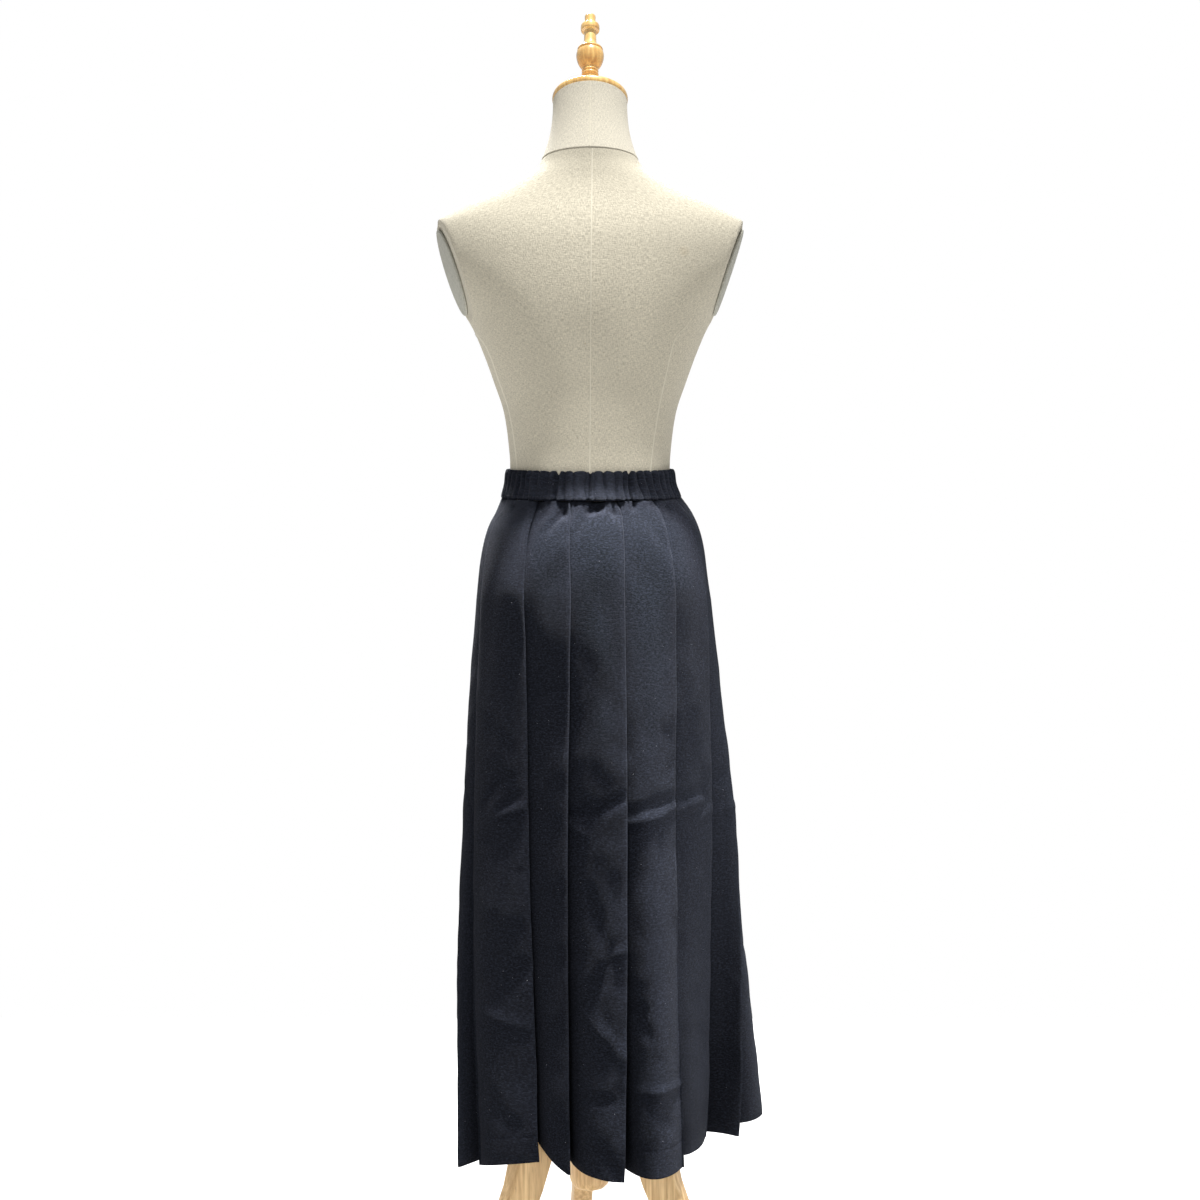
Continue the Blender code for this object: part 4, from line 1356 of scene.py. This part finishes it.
def build_stage():
    """A wide pale floor under the feet."""
    bm = bmesh.new()
    bmesh.ops.create_grid(bm, x_segments=1, y_segments=1, size=FLOOR_HALF)
    floor = mesh_object("floor", bm, floor_material())
    floor.location = (0.0, 0.0, -0.5 * MM)


def add_lamp(lamp):
    """A soft square lamp aimed at the waist, or a soft spot aimed at the lower part of the cloth."""
    light = bpy.data.lights.new(lamp.name, "SPOT" if lamp.spot_deg else "AREA")
    light.energy = lamp.power
    if lamp.spot_deg:
        light.spot_size = radians(lamp.spot_deg)
        light.spot_blend = 1.0
        light.shadow_soft_size = lamp.size
    else:
        light.shape = "SQUARE"
        light.size = lamp.size
    made = add_object(lamp.name, light)
    made.location = (AXIS.x + lamp.x, AXIS.y + lamp.y, lamp.z)
    aim = SPOT_AIM if lamp.spot_deg else LAMP_AIM
    toward = Vector((AXIS.x + aim[0], AXIS.y + aim[1], aim[2])) - made.location
    made.rotation_euler = toward.to_track_quat("-Z", "Y").to_euler()
    return made


def build_light(dark_pieces):
    """Soft studio light from above, in a white room; the dark cloth gets more of it."""
    scene = bpy.context.scene
    world = bpy.data.worlds.new("studio")
    world.use_nodes = True
    tree = world.node_tree
    sky = tree.nodes["Background"]
    sky.inputs["Color"].default_value = (1.0, 1.0, 1.0, 1.0)
    seen = tree.nodes.new("ShaderNodeLightPath")
    strength = tree.nodes.new("ShaderNodeMapRange")
    strength.inputs["To Min"].default_value = ROOM_LIGHT
    strength.inputs["To Max"].default_value = 1.0
    tree.links.new(seen.outputs["Is Camera Ray"], strength.inputs["Value"])
    tree.links.new(strength.outputs["Result"], sky.inputs["Strength"])
    scene.world = world
    dark_cloth = bpy.data.collections.new("dark_cloth")
    for piece in dark_pieces:
        dark_cloth.objects.link(piece)
    for lamp in LAMPS:
        made = add_lamp(lamp)
        if lamp.only_cloth:
            made.light_linking.receiver_collection = dark_cloth
    scene.view_settings.view_transform = "Standard"


def build_camera():
    """A level camera, its frame shifted as in the photo."""
    camera = bpy.data.cameras.new("camera")
    camera.sensor_width = 36.0
    camera.lens = CAMERA_LENS
    camera.shift_y = (HORIZON_ROW - PHOTO_SIDE / 2.0) / PHOTO_SIDE
    mount = add_object("camera", camera)
    mount.location = (AXIS.x + CAMERA_X * MM, AXIS.y + CAMERA_Y * MM, CAMERA_Z * MM)
    mount.rotation_euler = (pi / 2.0, 0.0, 0.0)
    bpy.context.scene.camera = mount


# Putting it together


def dress_skirt():
    """The skirt's two panels, its waistband and the band's stitches."""
    wool = wool_material()
    rings = ease_hip([finished_ring(up, row) for up, row in rows_below_hip() + rows_above_hip()])
    back = panel_mesh("skirt_back_cloth", rings, LEFT_SEAM_FOLD, RIGHT_SEAM_FOLD, wool)
    front = panel_mesh("skirt_front_cloth", rings, RIGHT_SEAM_FOLD, LEFT_SEAM_FOLD, wool)
    band = build_waistband(wool)
    stitches = build_waist_stitches(thread_material())
    nodes = ((back, "skirt_back_panel"), (front, "skirt_front_panel"), (band, "skirt_waistband"))
    stand_for(nodes)
    return [back, front, band, stitches]


def dress_form():
    """The linen torso, neck, seams and plates."""
    linen = linen_material("linen_cloth", (0.61, 0.56, 0.44))
    neck_linen = linen_material("linen_neck_cloth", (0.70, 0.65, 0.53))
    grey_linen = linen_material("linen_plate_cloth", (0.46, 0.45, 0.38))
    seam_linen = linen_material("linen_seam_cloth", (0.72, 0.67, 0.54))
    torso = build_torso(linen)
    neck = build_neck(neck_linen)
    seams = build_seams(seam_linen)
    left = build_arm_plate("arm_plate_left_linen", -1.0, grey_linen)
    right = build_arm_plate("arm_plate_right_linen", 1.0, grey_linen)
    stand_for(((torso, "form_torso"), (neck, "form_neck")))
    stand_for(((left, "form_arm_plate_left"), (right, "form_arm_plate_right")))


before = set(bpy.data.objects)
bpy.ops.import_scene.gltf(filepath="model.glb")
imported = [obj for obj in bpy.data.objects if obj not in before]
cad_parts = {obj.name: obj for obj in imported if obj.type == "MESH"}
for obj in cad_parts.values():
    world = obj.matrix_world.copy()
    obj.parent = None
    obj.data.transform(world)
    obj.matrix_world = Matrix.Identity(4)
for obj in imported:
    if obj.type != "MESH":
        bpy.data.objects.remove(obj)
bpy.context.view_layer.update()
pole_low, pole_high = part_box("stand_pole")
AXIS = (pole_low + pole_high) / 2.0
build_camera()
build_stage()
build_light(dress_skirt())
dress_form()
build_cap_and_finial(varnished_material())
build_stand(pale_wood_material())
